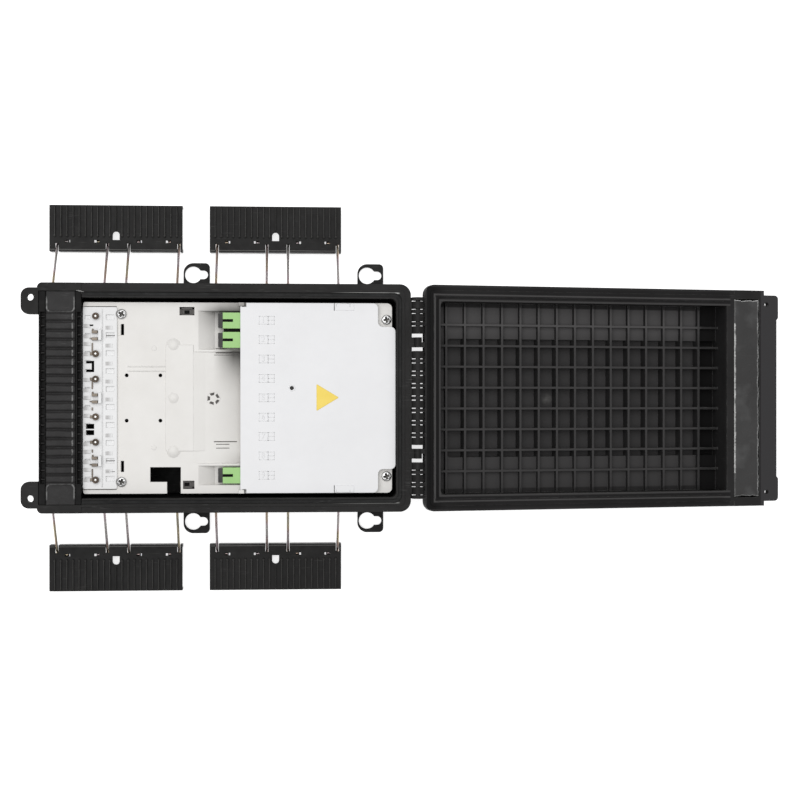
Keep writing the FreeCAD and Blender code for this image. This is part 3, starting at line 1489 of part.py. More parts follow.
# Strength member clamps: a plate with an upright, held by two screws
for k in range(clamp_count):
    centre = f"({(clamp_count - 1) / 2 - k})*clamp_pitch"
    low = ("strip_top", "strip_top + clamp_plate")
    edge = "clamp_place - ring_radius + clamp_lap"
    pieces = [
        block(
            f"clamp_strip_{k}",
            (f"{edge} - clamp_strip", edge),
            around(centre, "2*clamp_reach"),
            low,
        )
    ]
    holes = []
    for n, way in enumerate((-1, 1)):
        y = f"{centre} + ({way})*clamp_reach"
        pieces += [
            rod(
                f"clamp_eye_{k}{n}",
                "ring_radius + clamp_skin",
                ALONG_Z,
                ("clamp_place", y, "strip_top"),
                "clamp_plate",
            ),
            block(
                f"clamp_neck_{k}{n}",
                (f"{edge} - clamp_strip", "clamp_place"),
                around(y, "ring_radius"),
                low,
            ),
            block(
                f"clamp_tab_{k}{n}",
                ("clamp_place - ring_radius", "clamp_place + clamp_plate"),
                around(f"{centre} + ({way})*tab_place", "tab_size"),
                ("strip_top", "strip_top + clamp_height/2"),
            ),
        ]
        at = ("clamp_place", y, "strip_top - over")
        depth = "clamp_plate + 2*over"
        holes.append(rod(f"clamp_hole_{k}{n}", "screw_radius + seal_play", ALONG_Z, at, depth))
    node(f"strength_clamp_{k + 1}", cut(f"clamp_piece_{k}", fuse(f"clamp_solid_{k}", *pieces), *holes))
clamp_screws = []
for k in range(clamp_count):
    for n, way in enumerate((-1, 1)):
        y = f"({(clamp_count - 1) / 2 - k})*clamp_pitch + ({way})*clamp_reach"
        foot = "strip_top + clamp_plate"
        at = ("clamp_place", y, foot)
        head = rod(f"clamp_head_{k}{n}", "ring_radius", ALONG_Z, at, "ring_height")
        at = ("clamp_place", y, f"{foot} + ring_height/2")
        socket = rod(f"clamp_socket_{k}{n}", "screw_radius", ALONG_Z, at, "ring_height")
        clamp_screws.append(cut(f"clamp_screw_{k}{n}", head, socket))
node("clamp_screws", gather("clamp_screw_group", clamp_screws))

# Tray screws: pan heads with a cross recess, into the posts of the base
tray_screws = []
for side, s in SIDES.items():
    for end, place in (("left", "screw_left_place"), ("right", "screw_right_place")):
        tag = f"{end}_{side}"
        x = f"screw_{end}"
        y = f"{s}*{place}"
        low = "tray_top - tray_plate - screw_bite"
        shank_length = span(low, "tray_top + lap")
        head = rod(f"screw_head_{tag}", "screw_head", ALONG_Z, (x, y, "tray_top"), "screw_head_depth")
        shank = rod(f"screw_shank_{tag}", "screw_radius", ALONG_Z, (x, y, low), shank_length)
        z = ("tray_top + screw_head_depth/2", "tray_top + screw_head_depth + over")
        long_x, long_y = around(x, "recess_length"), around(y, "recess_length")
        slots = [
            block(f"screw_slot_x_{tag}", long_x, around(y, "recess_width"), z),
            block(f"screw_slot_y_{tag}", around(x, "recess_width"), long_y, z),
        ]
        solid = fuse(f"screw_solid_{tag}", head, shank)
        tray_screws.append(cut(f"screw_{tag}", solid, *slots))
node("tray_screws", gather("tray_screw_group", tray_screws))

# Adapters and their dust caps, in places 1, 2 and 9
for k, y in adapter_middle.items():
    ends = ("adapter_start", "adapter_start + adapter_length")
    middle_z = "adapter_floor + adapter_height/2"
    height = ("adapter_floor", "adapter_top")
    shell = block(f"adapter_shell_{k}", ends, around(y, "adapter_width"), height)
    port = around(y, "port_width")
    port_z = around(middle_z, "port_height")
    adapter_cuts = [
        block(f"port_front_{k}", (f"{ends[0]} - over", f"{ends[0]} + port_depth"), port, port_z),
        block(f"port_rear_{k}", (f"{ends[1]} - port_depth", f"{ends[1]} + over"), port, port_z),
        block(
            f"key_slot_{k}",
            (f"{ends[0]} - over", f"{ends[0]} + key_length"),
            around(y, "key_width"),
            (middle_z, "adapter_top + over"),
        ),
        rod(f"sleeve_{k}", "sleeve_radius", ALONG_X, (ends[0], y, middle_z), "adapter_length"),
    ]
    node(f"adapter_{k}", cut(f"adapter_piece_{k}", shell, *adapter_cuts))
    flange = block(
        f"cap_flange_{k}",
        (f"{ends[0]} - cap_reach", ends[0]),
        around(y, "port_width + 2*cap_edge"),
        around(middle_z, "port_height + cap_edge"),
    )
    plug = block(
        f"cap_plug_{k}",
        (f"{ends[0]} - over", f"{ends[0]} + port_depth/2"),
        around(y, "port_width - 2*cap_play"),
        around(middle_z, "port_height - 2*cap_play"),
    )
    node(f"dust_cap_{k}", fuse(f"dust_cap_piece_{k}", flange, plug))

# Splice holders: ridged blocks on the floor of the splice well
groove_count = int(size("holder_count"))
groove_pitch = "holder_width/holder_count"
for side, s in SIDES.items():
    solid = block(
        f"holder_{side}",
        ("holder_start", "holder_start + holder_length"),
        around(f"{s}*holder_place", "holder_width"),
        ("well_floor", "well_floor + holder_height"),
    )
    grooves = []
    for k in range(groove_count):
        y = f"{s}*holder_place + ({k - (groove_count - 1) / 2})*{groove_pitch}"
        grooves.append(
            block(
                f"holder_groove_{side}_{k}",
                ("holder_start - over", "holder_start + holder_length + over"),
                around(y, f"{groove_pitch}/2"),
                ("well_floor + holder_height/3", "well_floor + holder_height + over"),
            )
        )
    node(f"splice_holder_{side}", cut(f"holder_piece_{side}", solid, *grooves))

# Tray cover: a skirted plate on two hinge stubs, with snap tabs on both long edges
cover_outline = [
    ("cover_left", "-cover_half"),
    ("cover_corner_x", "-cover_half"),
    ("cover_corner_x", "-cover_corner_place"),
    ("cover_right", "-cover_corner_place"),
    ("cover_right", "cover_corner_place"),
    ("cover_corner_x", "cover_corner_place"),
    ("cover_corner_x", "cover_half"),
    ("cover_left", "cover_half"),
]
plate = profile("cover_sheet", "XY_Plane", "cover_level", cover_outline, "cover_plate")
left_edge = size("cover_left")
round_edges(plate, "cover_round", lambda a, b: upright(a, b) and a.x > left_edge + 1)
cover_adds = [plate]
cover_cuts = []
for side, s in SIDES.items():
    cover_adds.append(
        block(
            f"cover_skirt_{side}",
            ("cover_axis_x + 2*cover_round", "cover_corner_x - cover_round"),
            beside(s, "cover_half - tray_skin", "cover_half"),
            ("cover_level - cover_skirt", "cover_level + lap"),
        )
    )
    cover_cuts.append(
        block(
            f"cover_notch_{side}",
            ("cover_left - over", "cover_axis_x + cover_round"),
            beside(s, "cover_half - stub_length", "cover_half + over"),
            ("cover_level - over", "cover_top + over"),
        )
    )
    for n, x in enumerate(("tab_start", "tab_start + tab_width")):
        cover_cuts.append(
            block(
                f"tab_slit_{side}_{n}",
                around(x, "tab_slit"),
                beside(s, "cover_half - tab_depth", "cover_half + over"),
                ("cover_level - cover_skirt - over", "cover_top + over"),
            )
        )
cover_adds.append(
    block(
        "cover_end_skirt",
        ("cover_right - tray_skin", "cover_right"),
        ("2*cover_round - cover_corner_place", "cover_corner_place - 2*cover_round"),
        ("cover_level - cover_skirt", "cover_level + lap"),
    )
)
eye = ("cover_left + eye_in", "eye_place", "cover_level - over")
cover_cuts.append(rod("cover_eye", "eye_radius", ALONG_Z, eye, "cover_plate + 2*over"))
cover_plain = cut("cover_plain", fuse("cover_solid", *cover_adds), *cover_cuts)
stubs = [
    rod(
        f"cover_stub_{side}",
        "stub_radius",
        ALONG_Y,
        (
            "cover_axis_x",
            "cover_half - stub_length - stub_root" if s > 0 else "stub_end - cover_half",
            "cover_axis_z",
        ),
        "stub_length + stub_root - stub_end",
    )
    for side, s in SIDES.items()
]
node("tray_cover", fuse("tray_cover_piece", cover_plain, *stubs))

doc.recompute()
for thing in doc.Objects:
    if "Invalid" in thing.State or "Error" in thing.State:
        raise RuntimeError(f"{thing.Name} failed: {thing.State}")
for name, thing in nodes.items():
    if thing.Shape.isNull() or not thing.Shape.isValid():
        raise RuntimeError(f"{name} has no valid shape")

os.makedirs("parts", exist_ok=True)
for name, thing in nodes.items():
    thing.Shape.exportStep(f"parts/{name}.step")
    print(f"{name}: {len(thing.Shape.Solids)} solids, {thing.Shape.Volume:.0f} mm3")
for alias in ("bail_z", "lid_tilt", "shut_z", "hinge_x", "hinge_z"):
    print(alias, round(size(alias), 3))
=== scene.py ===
import math

import bmesh
import bpy
from mathutils import Matrix, Vector, noise


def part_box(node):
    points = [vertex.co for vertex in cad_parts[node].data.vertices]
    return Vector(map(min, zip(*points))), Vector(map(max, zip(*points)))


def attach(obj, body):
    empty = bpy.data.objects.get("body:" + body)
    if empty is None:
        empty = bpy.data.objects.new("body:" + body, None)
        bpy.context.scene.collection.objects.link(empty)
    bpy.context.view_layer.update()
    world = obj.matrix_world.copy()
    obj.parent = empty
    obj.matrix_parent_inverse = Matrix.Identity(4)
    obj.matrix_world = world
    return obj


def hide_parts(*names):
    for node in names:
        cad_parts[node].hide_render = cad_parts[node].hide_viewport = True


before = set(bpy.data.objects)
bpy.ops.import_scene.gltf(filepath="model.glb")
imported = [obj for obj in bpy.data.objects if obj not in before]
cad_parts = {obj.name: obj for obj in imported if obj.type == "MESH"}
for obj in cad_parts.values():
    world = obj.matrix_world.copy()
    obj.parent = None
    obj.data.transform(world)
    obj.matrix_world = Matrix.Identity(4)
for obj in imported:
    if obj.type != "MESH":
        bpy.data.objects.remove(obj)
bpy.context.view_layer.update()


# Base shell: the deep back half, one thick injection moulding in black glass-filled plastic with a
# wide rim flange, ears at the cable end, keyhole lugs, bail clips and hinge knuckles. Handling has
# polished its edges and left fine pale rub marks on the rim, and a painted highlight gleams along
# the lip of its groove.
def shader_group(name, inputs, outputs):
    """A shared surface effect, with its named inputs and outputs."""
    group = bpy.data.node_groups.new(name, "ShaderNodeTree")
    for kind, label, value in inputs:
        socket = group.interface.new_socket(label, in_out="INPUT", socket_type=kind)
        if value is not None:
            socket.default_value = value
    for kind, label in outputs:
        group.interface.new_socket(label, in_out="OUTPUT", socket_type=kind)
    return group, group.nodes.new("NodeGroupInput"), group.nodes.new("NodeGroupOutput")


def feed(tree, socket, value):
    """Set a socket from a number, a tuple or another socket."""
    if isinstance(value, bpy.types.NodeSocket):
        tree.links.new(value, socket)
    else:
        socket.default_value = value


def cloud(tree, place, scale, detail=2.0, rough=0.5):
    """Soft noise at a scale in marks per metre."""
    node = tree.nodes.new("ShaderNodeTexNoise")
    feed(tree, node.inputs["Vector"], place)
    feed(tree, node.inputs["Scale"], scale)
    feed(tree, node.inputs["Detail"], detail)
    feed(tree, node.inputs["Roughness"], rough)
    return node.outputs["Fac"]


def ramp(tree, value, low, high, to_low=0.0, to_high=1.0):
    """A value carried over from one range to another, and held at both ends."""
    node = tree.nodes.new("ShaderNodeMapRange")
    labels = ("Value", "From Min", "From Max", "To Min", "To Max")
    for label, given in zip(labels, (value, low, high, to_low, to_high)):
        feed(tree, node.inputs[label], given)
    return node.outputs["Result"]


def sums(tree, operation, first, *others):
    """Values taken together in turn, by one kind of sum."""
    for other in others:
        node = tree.nodes.new("ShaderNodeMath")
        node.operation = operation
        feed(tree, node.inputs[0], first)
        feed(tree, node.inputs[1], other)
        first = node.outputs["Value"]
    return first


def product(tree, *masks):
    return sums(tree, "MULTIPLY", *masks)


def band(tree, value, rise, fall):
    """A mask that comes up over one range of a value and goes down over another."""
    return product(tree, ramp(tree, value, *rise), ramp(tree, value, *fall))


def vector_sum(tree, operation, first, second):
    node = tree.nodes.new("ShaderNodeVectorMath")
    node.operation = operation
    feed(tree, node.inputs[0], first)
    feed(tree, node.inputs[1], second)
    return node.outputs


def blend_colours(tree, factor, low, high):
    node = tree.nodes.new("ShaderNodeMix")
    node.data_type = "RGBA"
    sockets = [socket for socket in node.inputs if socket.type == "RGBA"]
    for socket, value in zip(sockets, (low, high)):
        feed(tree, socket, (*value, 1.0) if isinstance(value, tuple) else value)
    feed(tree, node.inputs["Factor"], factor)
    return [socket for socket in node.outputs if socket.type == "RGBA"][0]


moulded_surface, given, made = shader_group(
    "moulded_surface",
    [
        ("NodeSocketVector", "Place", None),
        ("NodeSocketFloat", "Grain Scale", 1500.0),
        ("NodeSocketFloat", "Relief", 0.00006),
    ],
    [
        ("NodeSocketFloat", "Tone"),
        ("NodeSocketFloat", "Sheen"),
        ("NodeSocketFloat", "Edge"),
        ("NodeSocketVector", "Normal"),
    ],
)
edge_radius = 0.0006
spot = given.outputs["Place"]
flow = cloud(moulded_surface, spot, 28.0, 3.0)
haze = cloud(moulded_surface, spot, 160.0)
grain = cloud(moulded_surface, spot, given.outputs["Grain Scale"], 2.0, 0.7)
rounding = moulded_surface.nodes.new("ShaderNodeBevel")
rounding.samples = 4
rounding.inputs["Radius"].default_value = edge_radius
rounded = rounding.outputs["Normal"]
flat = moulded_surface.nodes.new("ShaderNodeNewGeometry").outputs["Normal"]
turned = vector_sum(moulded_surface, "DOT_PRODUCT", rounded, flat)["Value"]
relief = moulded_surface.nodes.new("ShaderNodeBump")
feed(moulded_surface, relief.inputs["Distance"], given.outputs["Relief"])
feed(moulded_surface, relief.inputs["Height"], grain)
feed(moulded_surface, relief.inputs["Normal"], rounded)
on_edge = ramp(moulded_surface, turned, 0.995, 0.86)
rubbed = product(moulded_surface, on_edge, ramp(moulded_surface, haze, 0.3, 0.65))
feed(moulded_surface, made.inputs["Tone"], ramp(moulded_surface, flow, 0.3, 0.7))
feed(moulded_surface, made.inputs["Sheen"], ramp(moulded_surface, haze, 0.3, 0.7))
feed(moulded_surface, made.inputs["Edge"], rubbed)
feed(moulded_surface, made.inputs["Normal"], relief.outputs["Normal"])

rub_marks, given, made = shader_group(
    "rub_marks",
    [("NodeSocketVector", "Place", None), ("NodeSocketFloat", "Amount", 0.5)],
    [("NodeSocketFloat", "Marks")],
)
stroke_stretch = 15.0
strokes = []
for turn, fineness in ((0.12, 900.0), (1.47, 900.0), (0.8, 1400.0)):
    lay = rub_marks.nodes.new("ShaderNodeMapping")
    lay.inputs["Rotation"].default_value = (0.0, 0.0, turn)
    lengthwise = fineness / stroke_stretch
    lay.inputs["Scale"].default_value = (lengthwise, fineness, lengthwise)
    feed(rub_marks, lay.inputs["Vector"], given.outputs["Place"])
    strokes.append(ramp(rub_marks, cloud(rub_marks, lay.outputs["Vector"], 1.0, 1.0), 0.68, 0.78))
stroke = sums(rub_marks, "MAXIMUM", *strokes)
patch = ramp(rub_marks, cloud(rub_marks, given.outputs["Place"], 45.0), 0.48, 0.66)
feed(rub_marks, made.inputs["Marks"], product(rub_marks, stroke, patch, given.outputs["Amount"]))


def use_group(tree, group, place, **values):
    node = tree.nodes.new("ShaderNodeGroup")
    node.node_tree = group
    feed(tree, node.inputs["Place"], place)
    for label, value in values.items():
        node.inputs[label.replace("_", " ")].default_value = value
    return node.outputs


def moulded(
    name,
    deep,
    pale,
    gloss,
    grain=1500.0,
    relief=0.00006,
    edge=None,
    marks=0.0,
    worn=(0.2, 0.2, 0.2),
    shine=0.5,
    metal=0.0,
):
    """A moulded or pressed finish: drifting tone, fine grain, rubbed soft edges, and strokes."""
    finish = bpy.data.materials.new(name)
    finish.use_nodes = True
    tree = finish.node_tree
    shader = tree.nodes["Principled BSDF"]
    shader.inputs["Specular IOR Level"].default_value = shine
    shader.inputs["Metallic"].default_value = metal
    place = tree.nodes.new("ShaderNodeTexCoord").outputs["Object"]
    surface = use_group(tree, moulded_surface, place, Grain_Scale=grain, Relief=relief)
    colour = blend_colours(tree, surface["Tone"], deep, pale)
    if edge:
        colour = blend_colours(tree, surface["Edge"], colour, edge)
    if marks:
        strokes = use_group(tree, rub_marks, place, Amount=marks)
        colour = blend_colours(tree, strokes["Marks"], colour, worn)
    feed(tree, shader.inputs["Base Color"], colour)
    feed(tree, shader.inputs["Roughness"], ramp(tree, surface["Sheen"], 0.0, 1.0, *gloss))
    feed(tree, shader.inputs["Normal"], surface["Normal"])
    return finish


def surface_place(tree):
    """Where a point of the surface lies on the part, whole and as X, Y and Z, in metres."""
    place = tree.nodes.new("ShaderNodeTexCoord").outputs["Object"]
    axes = tree.nodes.new("ShaderNodeSeparateXYZ")
    feed(tree, axes.inputs["Vector"], place)
    return place, *axes.outputs


def in_from_side(tree, y):
    """How far a place lies inside the long edges of the rims, in metres."""
    rim_half = 0.092
    return sums(tree, "SUBTRACT", rim_half, sums(tree, "ABSOLUTE", y, 0.0))


def overlay(finish, mask, colour):
    """Lay a colour over a finish, as far as the mask says."""
    tree = finish.node_tree
    base = tree.nodes["Principled BSDF"].inputs["Base Color"]
    feed(tree, base, blend_colours(tree, mask, base.links[0].from_socket, colour))


def dress(finish, *names):
    """Give solids of the frame their finish."""
    for name in names:
        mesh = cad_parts[name].data
        mesh.materials.clear()
        mesh.materials.append(finish)


base_black = moulded(
    "base_black",
    (0.0135, 0.013, 0.0128),
    (0.021, 0.0203, 0.02),
    (0.38, 0.52),
    edge=(0.055, 0.053, 0.052),
    marks=0.5,
    worn=(0.13, 0.13, 0.128),
    shine=0.11,
)
tree = base_black.node_tree
place, x, y, z = surface_place(tree)
# Painted highlight: a pale gleam along the lip of the rim's groove, patchy and strongest on the top
# side.
painted_lip_gleam = product(
    tree,
    band(tree, in_from_side(tree, y), (0.0068, 0.0070), (0.0081, 0.0079)),
    band(tree, x, (0.084, 0.110), (0.1405, 0.1385)),
    ramp(tree, y, -0.01, 0.01, 0.4, 1.0),
    ramp(tree, cloud(tree, place, 70.0, 3.0), 0.26, 0.46),
    ramp(tree, z, 0.0853, 0.0857),
)
overlay(base_black, painted_lip_gleam, (0.45, 0.45, 0.44))
dress(base_black, "base_shell")

# Rim seal: an extruded strip of soft black rubber, pressed into the groove of the base's rim on the
# three sides that the gel leaves. Its crown is scuffed, and a pale flake hangs at one cut end.
MM = 0.001


def soften(build, edges, by):
    """Round some edges of a mesh in the making."""
    bmesh.ops.bevel(
        build, geom=list(edges), offset=by * MM, segments=2, profile=0.5, affect="EDGES"
    )


def block_mesh(build, low, high, round_by=0.0):
    """A block with rounded edges, in millimetres, added to a mesh in the making."""
    middle = [(a + b) / 2 * MM for a, b in zip(low, high)]
    size = [(b - a) * MM for a, b in zip(low, high)]
    place = Matrix.Translation(middle) @ Matrix.Diagonal(size + [1.0])
    made = bmesh.ops.create_cube(build, size=1.0, matrix=place)
    if round_by:
        soften(build, {edge for vert in made["verts"] for edge in vert.link_edges}, round_by)


def loose_shape(name, build, smooth=False):
    """End a mesh in the making: its faces outward, its object not yet in the scene."""
    bmesh.ops.recalc_face_normals(build, faces=build.faces)
    if smooth:
        for face in build.faces:
            face.smooth = True
    mesh = bpy.data.meshes.new(name)
    build.to_mesh(mesh)
    build.free()
    return bpy.data.objects.new(name, mesh)


def finish_piece(name, build, finish, body):
    """Put a mesh in the making into the scene, on the body that carries it."""
    piece = loose_shape(name, build)
    piece.data.materials.append(finish)
    bpy.context.scene.collection.objects.link(piece)
    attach(piece, body)
    return piece


seal_black = moulded(
    "seal_black",
    (0.009, 0.009, 0.009),
    (0.016, 0.016, 0.016),
    (0.5, 0.65),
    grain=2600.0,
    edge=(0.05, 0.05, 0.05),
    marks=0.7,
    worn=(0.13, 0.13, 0.13),
    shine=0.2,
)
dress(seal_black, "rim_seal")
flake_grey = moulded(
    "flake_grey", (0.16, 0.16, 0.158), (0.4, 0.4, 0.39), (0.5, 0.65), grain=2600.0
)
rim_top = 86.0
flake_curls = (
    ((-118.3, 85.4), (-115.9, 85.9)),
    ((-116.5, 84.9), (-114.3, 85.6)),
    ((-114.6, 84.5), (-112.4, 85.0)),
)
build = bmesh.new()
for low, high in flake_curls:
    block_mesh(build, (*low, rim_top - 0.2), (*high, rim_top + 0.12), 0.1)
finish_piece("seal_flake", build, flake_grey, "base")


# Combs: two black mouldings across the trough, outside and inside the gel. Each is a thin wall with
# tapered fingers that keep a cable in its place; the wall is cut away where a cable comes in.
def growth(name, sockets):
    """A tree of geometry nodes with named inputs."""
    tree = bpy.data.node_groups.new(name, "GeometryNodeTree")
    for kind, label in sockets:
        tree.interface.new_socket(label, in_out="INPUT", socket_type=kind)
    tree.interface.new_socket("Geometry", in_out="OUTPUT", socket_type="NodeSocketGeometry")
    outputs = tree.nodes.new("NodeGroupInput").outputs
    return tree, outputs, tree.nodes.new("NodeGroupOutput").inputs


def place_copies(tree, points, pattern, turn, finish, out):
    """Put the pattern on the points, make it real, and give it its finish."""
    source = tree.nodes.new("GeometryNodeObjectInfo")
    feed(tree, source.inputs["Object"], pattern)
    copies = tree.nodes.new("GeometryNodeInstanceOnPoints")
    feed(tree, copies.inputs["Points"], points)
    feed(tree, copies.inputs["Instance"], source.outputs["Geometry"])
    if turn:
        feed(tree, copies.inputs["Rotation"], turn)
    real = tree.nodes.new("GeometryNodeRealizeInstances")
    feed(tree, real.inputs["Geometry"], copies.outputs["Instances"])
    coat = tree.nodes.new("GeometryNodeSetMaterial")
    feed(tree, coat.inputs["Geometry"], real.outputs["Geometry"])
    feed(tree, coat.inputs["Material"], finish)
    feed(tree, out["Geometry"], coat.outputs["Geometry"])


row_of_like, given, made = growth(
    "row_of_like",
    [
        ("NodeSocketGeometry", "Places"),
        ("NodeSocketObject", "Pattern"),
        ("NodeSocketInt", "Count"),
        ("NodeSocketVector", "Start"),
        ("NodeSocketVector", "Pitch"),
        ("NodeSocketMaterial", "Finish"),
    ],
)
line = row_of_like.nodes.new("GeometryNodeMeshLine")
line.mode = "OFFSET"
feed(row_of_like, line.inputs["Count"], given["Count"])
feed(row_of_like, line.inputs["Start Location"], given["Start"])
feed(row_of_like, line.inputs["Offset"], given["Pitch"])
place_copies(row_of_like, line.outputs["Mesh"], given["Pattern"], None, given["Finish"], made)


def set_out(name, tree, places, pattern, **values):
    """Run a tree over its places, and keep the plain mesh."""
    mesh = bpy.data.meshes.new(name)
    mesh.from_pydata([Vector(place) * MM for place in places], [], [])
    piece = bpy.data.objects.new(name, mesh)
    bpy.context.scene.collection.objects.link(piece)
    bpy.context.scene.collection.objects.link(pattern)
    grown = piece.modifiers.new("grown", "NODES")
    grown.node_group = tree
    values["Pattern"] = pattern
    for item in tree.interface.items_tree:
        label = item.name.replace(" ", "_")
        if item.in_out == "INPUT" and label in values:
            grown[item.identifier] = values[label]
    seen = bpy.context.evaluated_depsgraph_get()
    plain = bpy.data.meshes.new_from_object(piece.evaluated_get(seen), depsgraph=seen)
    piece.modifiers.clear()
    piece.data = plain
    bpy.data.objects.remove(pattern)
    return piece


def prism(build, under, over):
    """A solid between two rings with as many corners, in millimetres."""
    rings = (under, over)
    low, high = ([build.verts.new(Vector(corner) * MM) for corner in ring] for ring in rings)
    build.faces.new(high)
    build.faces.new(low[::-1])
    for k in range(len(low)):
        build.faces.new((low[k - 1], low[k], high[k], high[k - 1]))


def level_ring(left, right, half, height):
    """The four corners of a level rectangle that lies evenly about the X axis."""
    return [(x, y, height) for x, y in ((left, -half), (right, -half), (right, half), (left, half))]


comb_black = moulded(
    "comb_black",
    (0.004, 0.0038, 0.0038),
    (0.008, 0.0076, 0.0076),
    (0.4, 0.55),
    edge=(0.02, 0.019, 0.019),
    shine=0.1,
)
# The fingers wear a lighter copy of the comb's black: a painted highlight where their tips catch
# the light.
tip_black = moulded(
    "tip_black",
    (0.007, 0.0068, 0.0067),
    (0.017, 0.0163, 0.016),
    (0.34, 0.48),
    edge=(0.09, 0.087, 0.085),
    shine=0.1,
)
cable_places, cable_pitch = 19, 7.2
cables_half = cable_places * cable_pitch / 2
finger_fall = 6.0
for comb in ("outer_comb", "inner_comb"):
    low, high = (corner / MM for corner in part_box(comb))
    build = bmesh.new()
    block_mesh(build, (low.x, low.y, low.z), (low.x + 1.5, high.y, high.z - 0.9), 0.25)
    block_mesh(build, (high.x - 1.0, low.y, low.z), (high.x, high.y, high.z - 1.6), 0.25)
    block_mesh(build, (low.x + 1.2, low.y, low.z), (high.x - 0.8, high.y, high.z - 4.5), 0.2)
    for near, far in ((low.y, -cables_half), (cables_half, high.y)):
        block_mesh(build, (low.x, near, high.z - finger_fall), (high.x, far, high.z - 0.2), 0.4)
    wall = finish_piece(f"{comb}_wall", build, comb_black, "base")
    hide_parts(comb)
    depth = high.x - low.x
    foot = level_ring(0.3, depth - 0.3, 1.4, -finger_fall)
    tip = level_ring(depth * 0.45, depth - 0.5, 0.45, 0.0)
    build = bmesh.new()
    prism(build, foot, tip)
    soften(build, build.edges, 0.2)
    fingers = set_out(
        f"{comb}_fingers",
        row_of_like,
        [(0, 0, 0)],
        loose_shape("finger", build),
        Count=cable_places,
        Start=Vector((low.x, cable_pitch / 2 - cables_half, high.z)) * MM,
        Pitch=Vector((0.0, cable_pitch, 0.0)) * MM,
        Finish=tip_black,
    )
    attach(fingers, "base")

# Cable gel: a block of soft black gel cast with a roll for each cable place, and with a smooth pad
# at each end. A thin bead outlines each pad, and its trimmed edges are pale.
gel_black = moulded(
    "gel_black",
    (0.020, 0.0193, 0.0195),
    (0.031, 0.030, 0.0303),
    (0.36, 0.5),
    grain=500.0,
    relief=0.00025,
    marks=0.7,
    worn=(0.10, 0.10, 0.10),
    shine=0.14,
)
gel_low, gel_high = (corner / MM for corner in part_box("base_gel"))
gel_middle = (gel_low.x + gel_high.x) / 2
gel_half = (gel_high.x - gel_low.x) / 2
pad_drop, crest_drop, roll_fall = 0.8, 0.5, 1.7
bead_rise, bead_half, lip_rise, lip_half = 0.75, 0.75, 0.5, 0.6


def pad_bead(x, y):
    """Height of the bead that outlines an end pad: a U open to the rim, with round corners."""
    half, low, corner = gel_half - 0.9, cables_half + 0.5, 3.2
    over = max(abs(x - gel_middle) - (half - corner), 0.0)
    under = max(low + corner - abs(y), 0.0)
    gap = corner
    if under:
        gap = abs(math.hypot(over, under) - corner)
    elif over:
        gap = abs(abs(x - gel_middle) - half)
    fade = min(1.0, max(0.0, (gel_high.y - 3.5 - abs(y)) / 2.0))
    return bead_rise * fade * max(0.0, 1.0 - (gap / bead_half) ** 2)


def roll_lip(x, y):
    """Height of the torn lip at the tray end of the rolls."""
    phase = (y + cables_half) / cable_pitch % 1.0
    if abs(y) >= cables_half or not 0.15 < phase < 0.85:
        return 0.0
    gap = abs(x - gel_high.x + 2.4 + 0.5 * noise.noise(Vector((y * 0.5, 2.0, 2.0))))
    return lip_rise * max(0.0, 1.0 - (gap / lip_half) ** 2)


def gel_top(x, y):
    """Height of the gel at a place: rolls across the middle, pads at the ends."""
    side = abs(x - gel_middle) / gel_half
    wave = 0.12 * noise.noise(Vector((x * 0.12, y * 0.2, 3.0)))
    if abs(y) >= cables_half:
        sunk_edge = 0.5 * max(0.0, (side - 0.94) / 0.06)
        return gel_high.z - pad_drop + pad_bead(x, y) + wave - sunk_edge
    number, phase = divmod((y + cables_half) / cable_pitch, 1.0)
    lean = 0.25 * noise.noise(Vector((number * 7.3, 0.0, 1.0)))
    across = abs(2.0 * phase - 1.0 + 0.12 * noise.noise(Vector((x * 0.1, number * 3.1, 7.0))))
    crown = max(0.0, (across - 0.5) / 0.5)
    crest = gel_high.z - crest_drop + wave + lean * (phase - 0.5) + roll_lip(x, y)
    sunk_edge = 1.2 * max(0.0, (side - 0.96) / 0.04)
    return crest - roll_fall * crown**1.5 - sunk_edge


def sheet_block(name, rows, columns, top, floor):
    """A closed block under a modelled top: a grid of points, its sides and its flat underside."""
    build = bmesh.new()
    upper = [[build.verts.new(top(x, y)) for x in columns] for y in rows]
    first, last = ([build.verts.new(floor(x, y)) for x in columns] for y in (rows[0], rows[-1]))
    strips = [*zip(upper, upper[1:]), (first, upper[0]), (last, upper[-1])]
    for low, high in strips:
        for corners in zip(low, low[1:], high[1:], high):
            build.faces.new(corners)
    build.faces.new([row[0] for row in upper] + [last[0], first[0]])
    build.faces.new([row[-1] for row in upper] + [last[-1], first[-1]])
    build.faces.new(first + last[::-1])
    piece = loose_shape(name, build, smooth=True)
    bpy.context.scene.collection.objects.link(piece)
    return piece


def steps(low, high, pitch):
    count = max(1, round((high - low) / pitch))
    return [low + (high - low) * k / count for k in range(count + 1)]


def mark_points(mesh, name, value):
    """Keep a number at each point of a mesh, found from its place in millimetres."""
    marks = mesh.attributes.new(name, "FLOAT", "POINT")
    for k, point in enumerate(mesh.vertices):
        marks.data[k].value = value(*(measure / MM for measure in point.co))


def point_mask(finish, name):
    """The numbers kept at the points of a mesh, as a mask."""
    node = finish.node_tree.nodes.new("ShaderNodeAttribute")
    node.attribute_name = name
    return node.outputs["Fac"]


def trimmed_edge(x, y, z):
    """How pale the trimmed skin is at a place."""
    ragged = max(0.0, 0.75 + 0.9 * noise.noise(Vector((x * 0.4, y * 0.4, 5.0))))
    pale = pad_bead(x, y) / bead_rise if abs(y) > cables_half else roll_lip(x, y) / lip_rise
    at_side = abs(x - gel_middle) > gel_half - 2.6 and z > gel_low.z + 0.01
    return pale * ragged * (1.0 if at_side else 0.25)


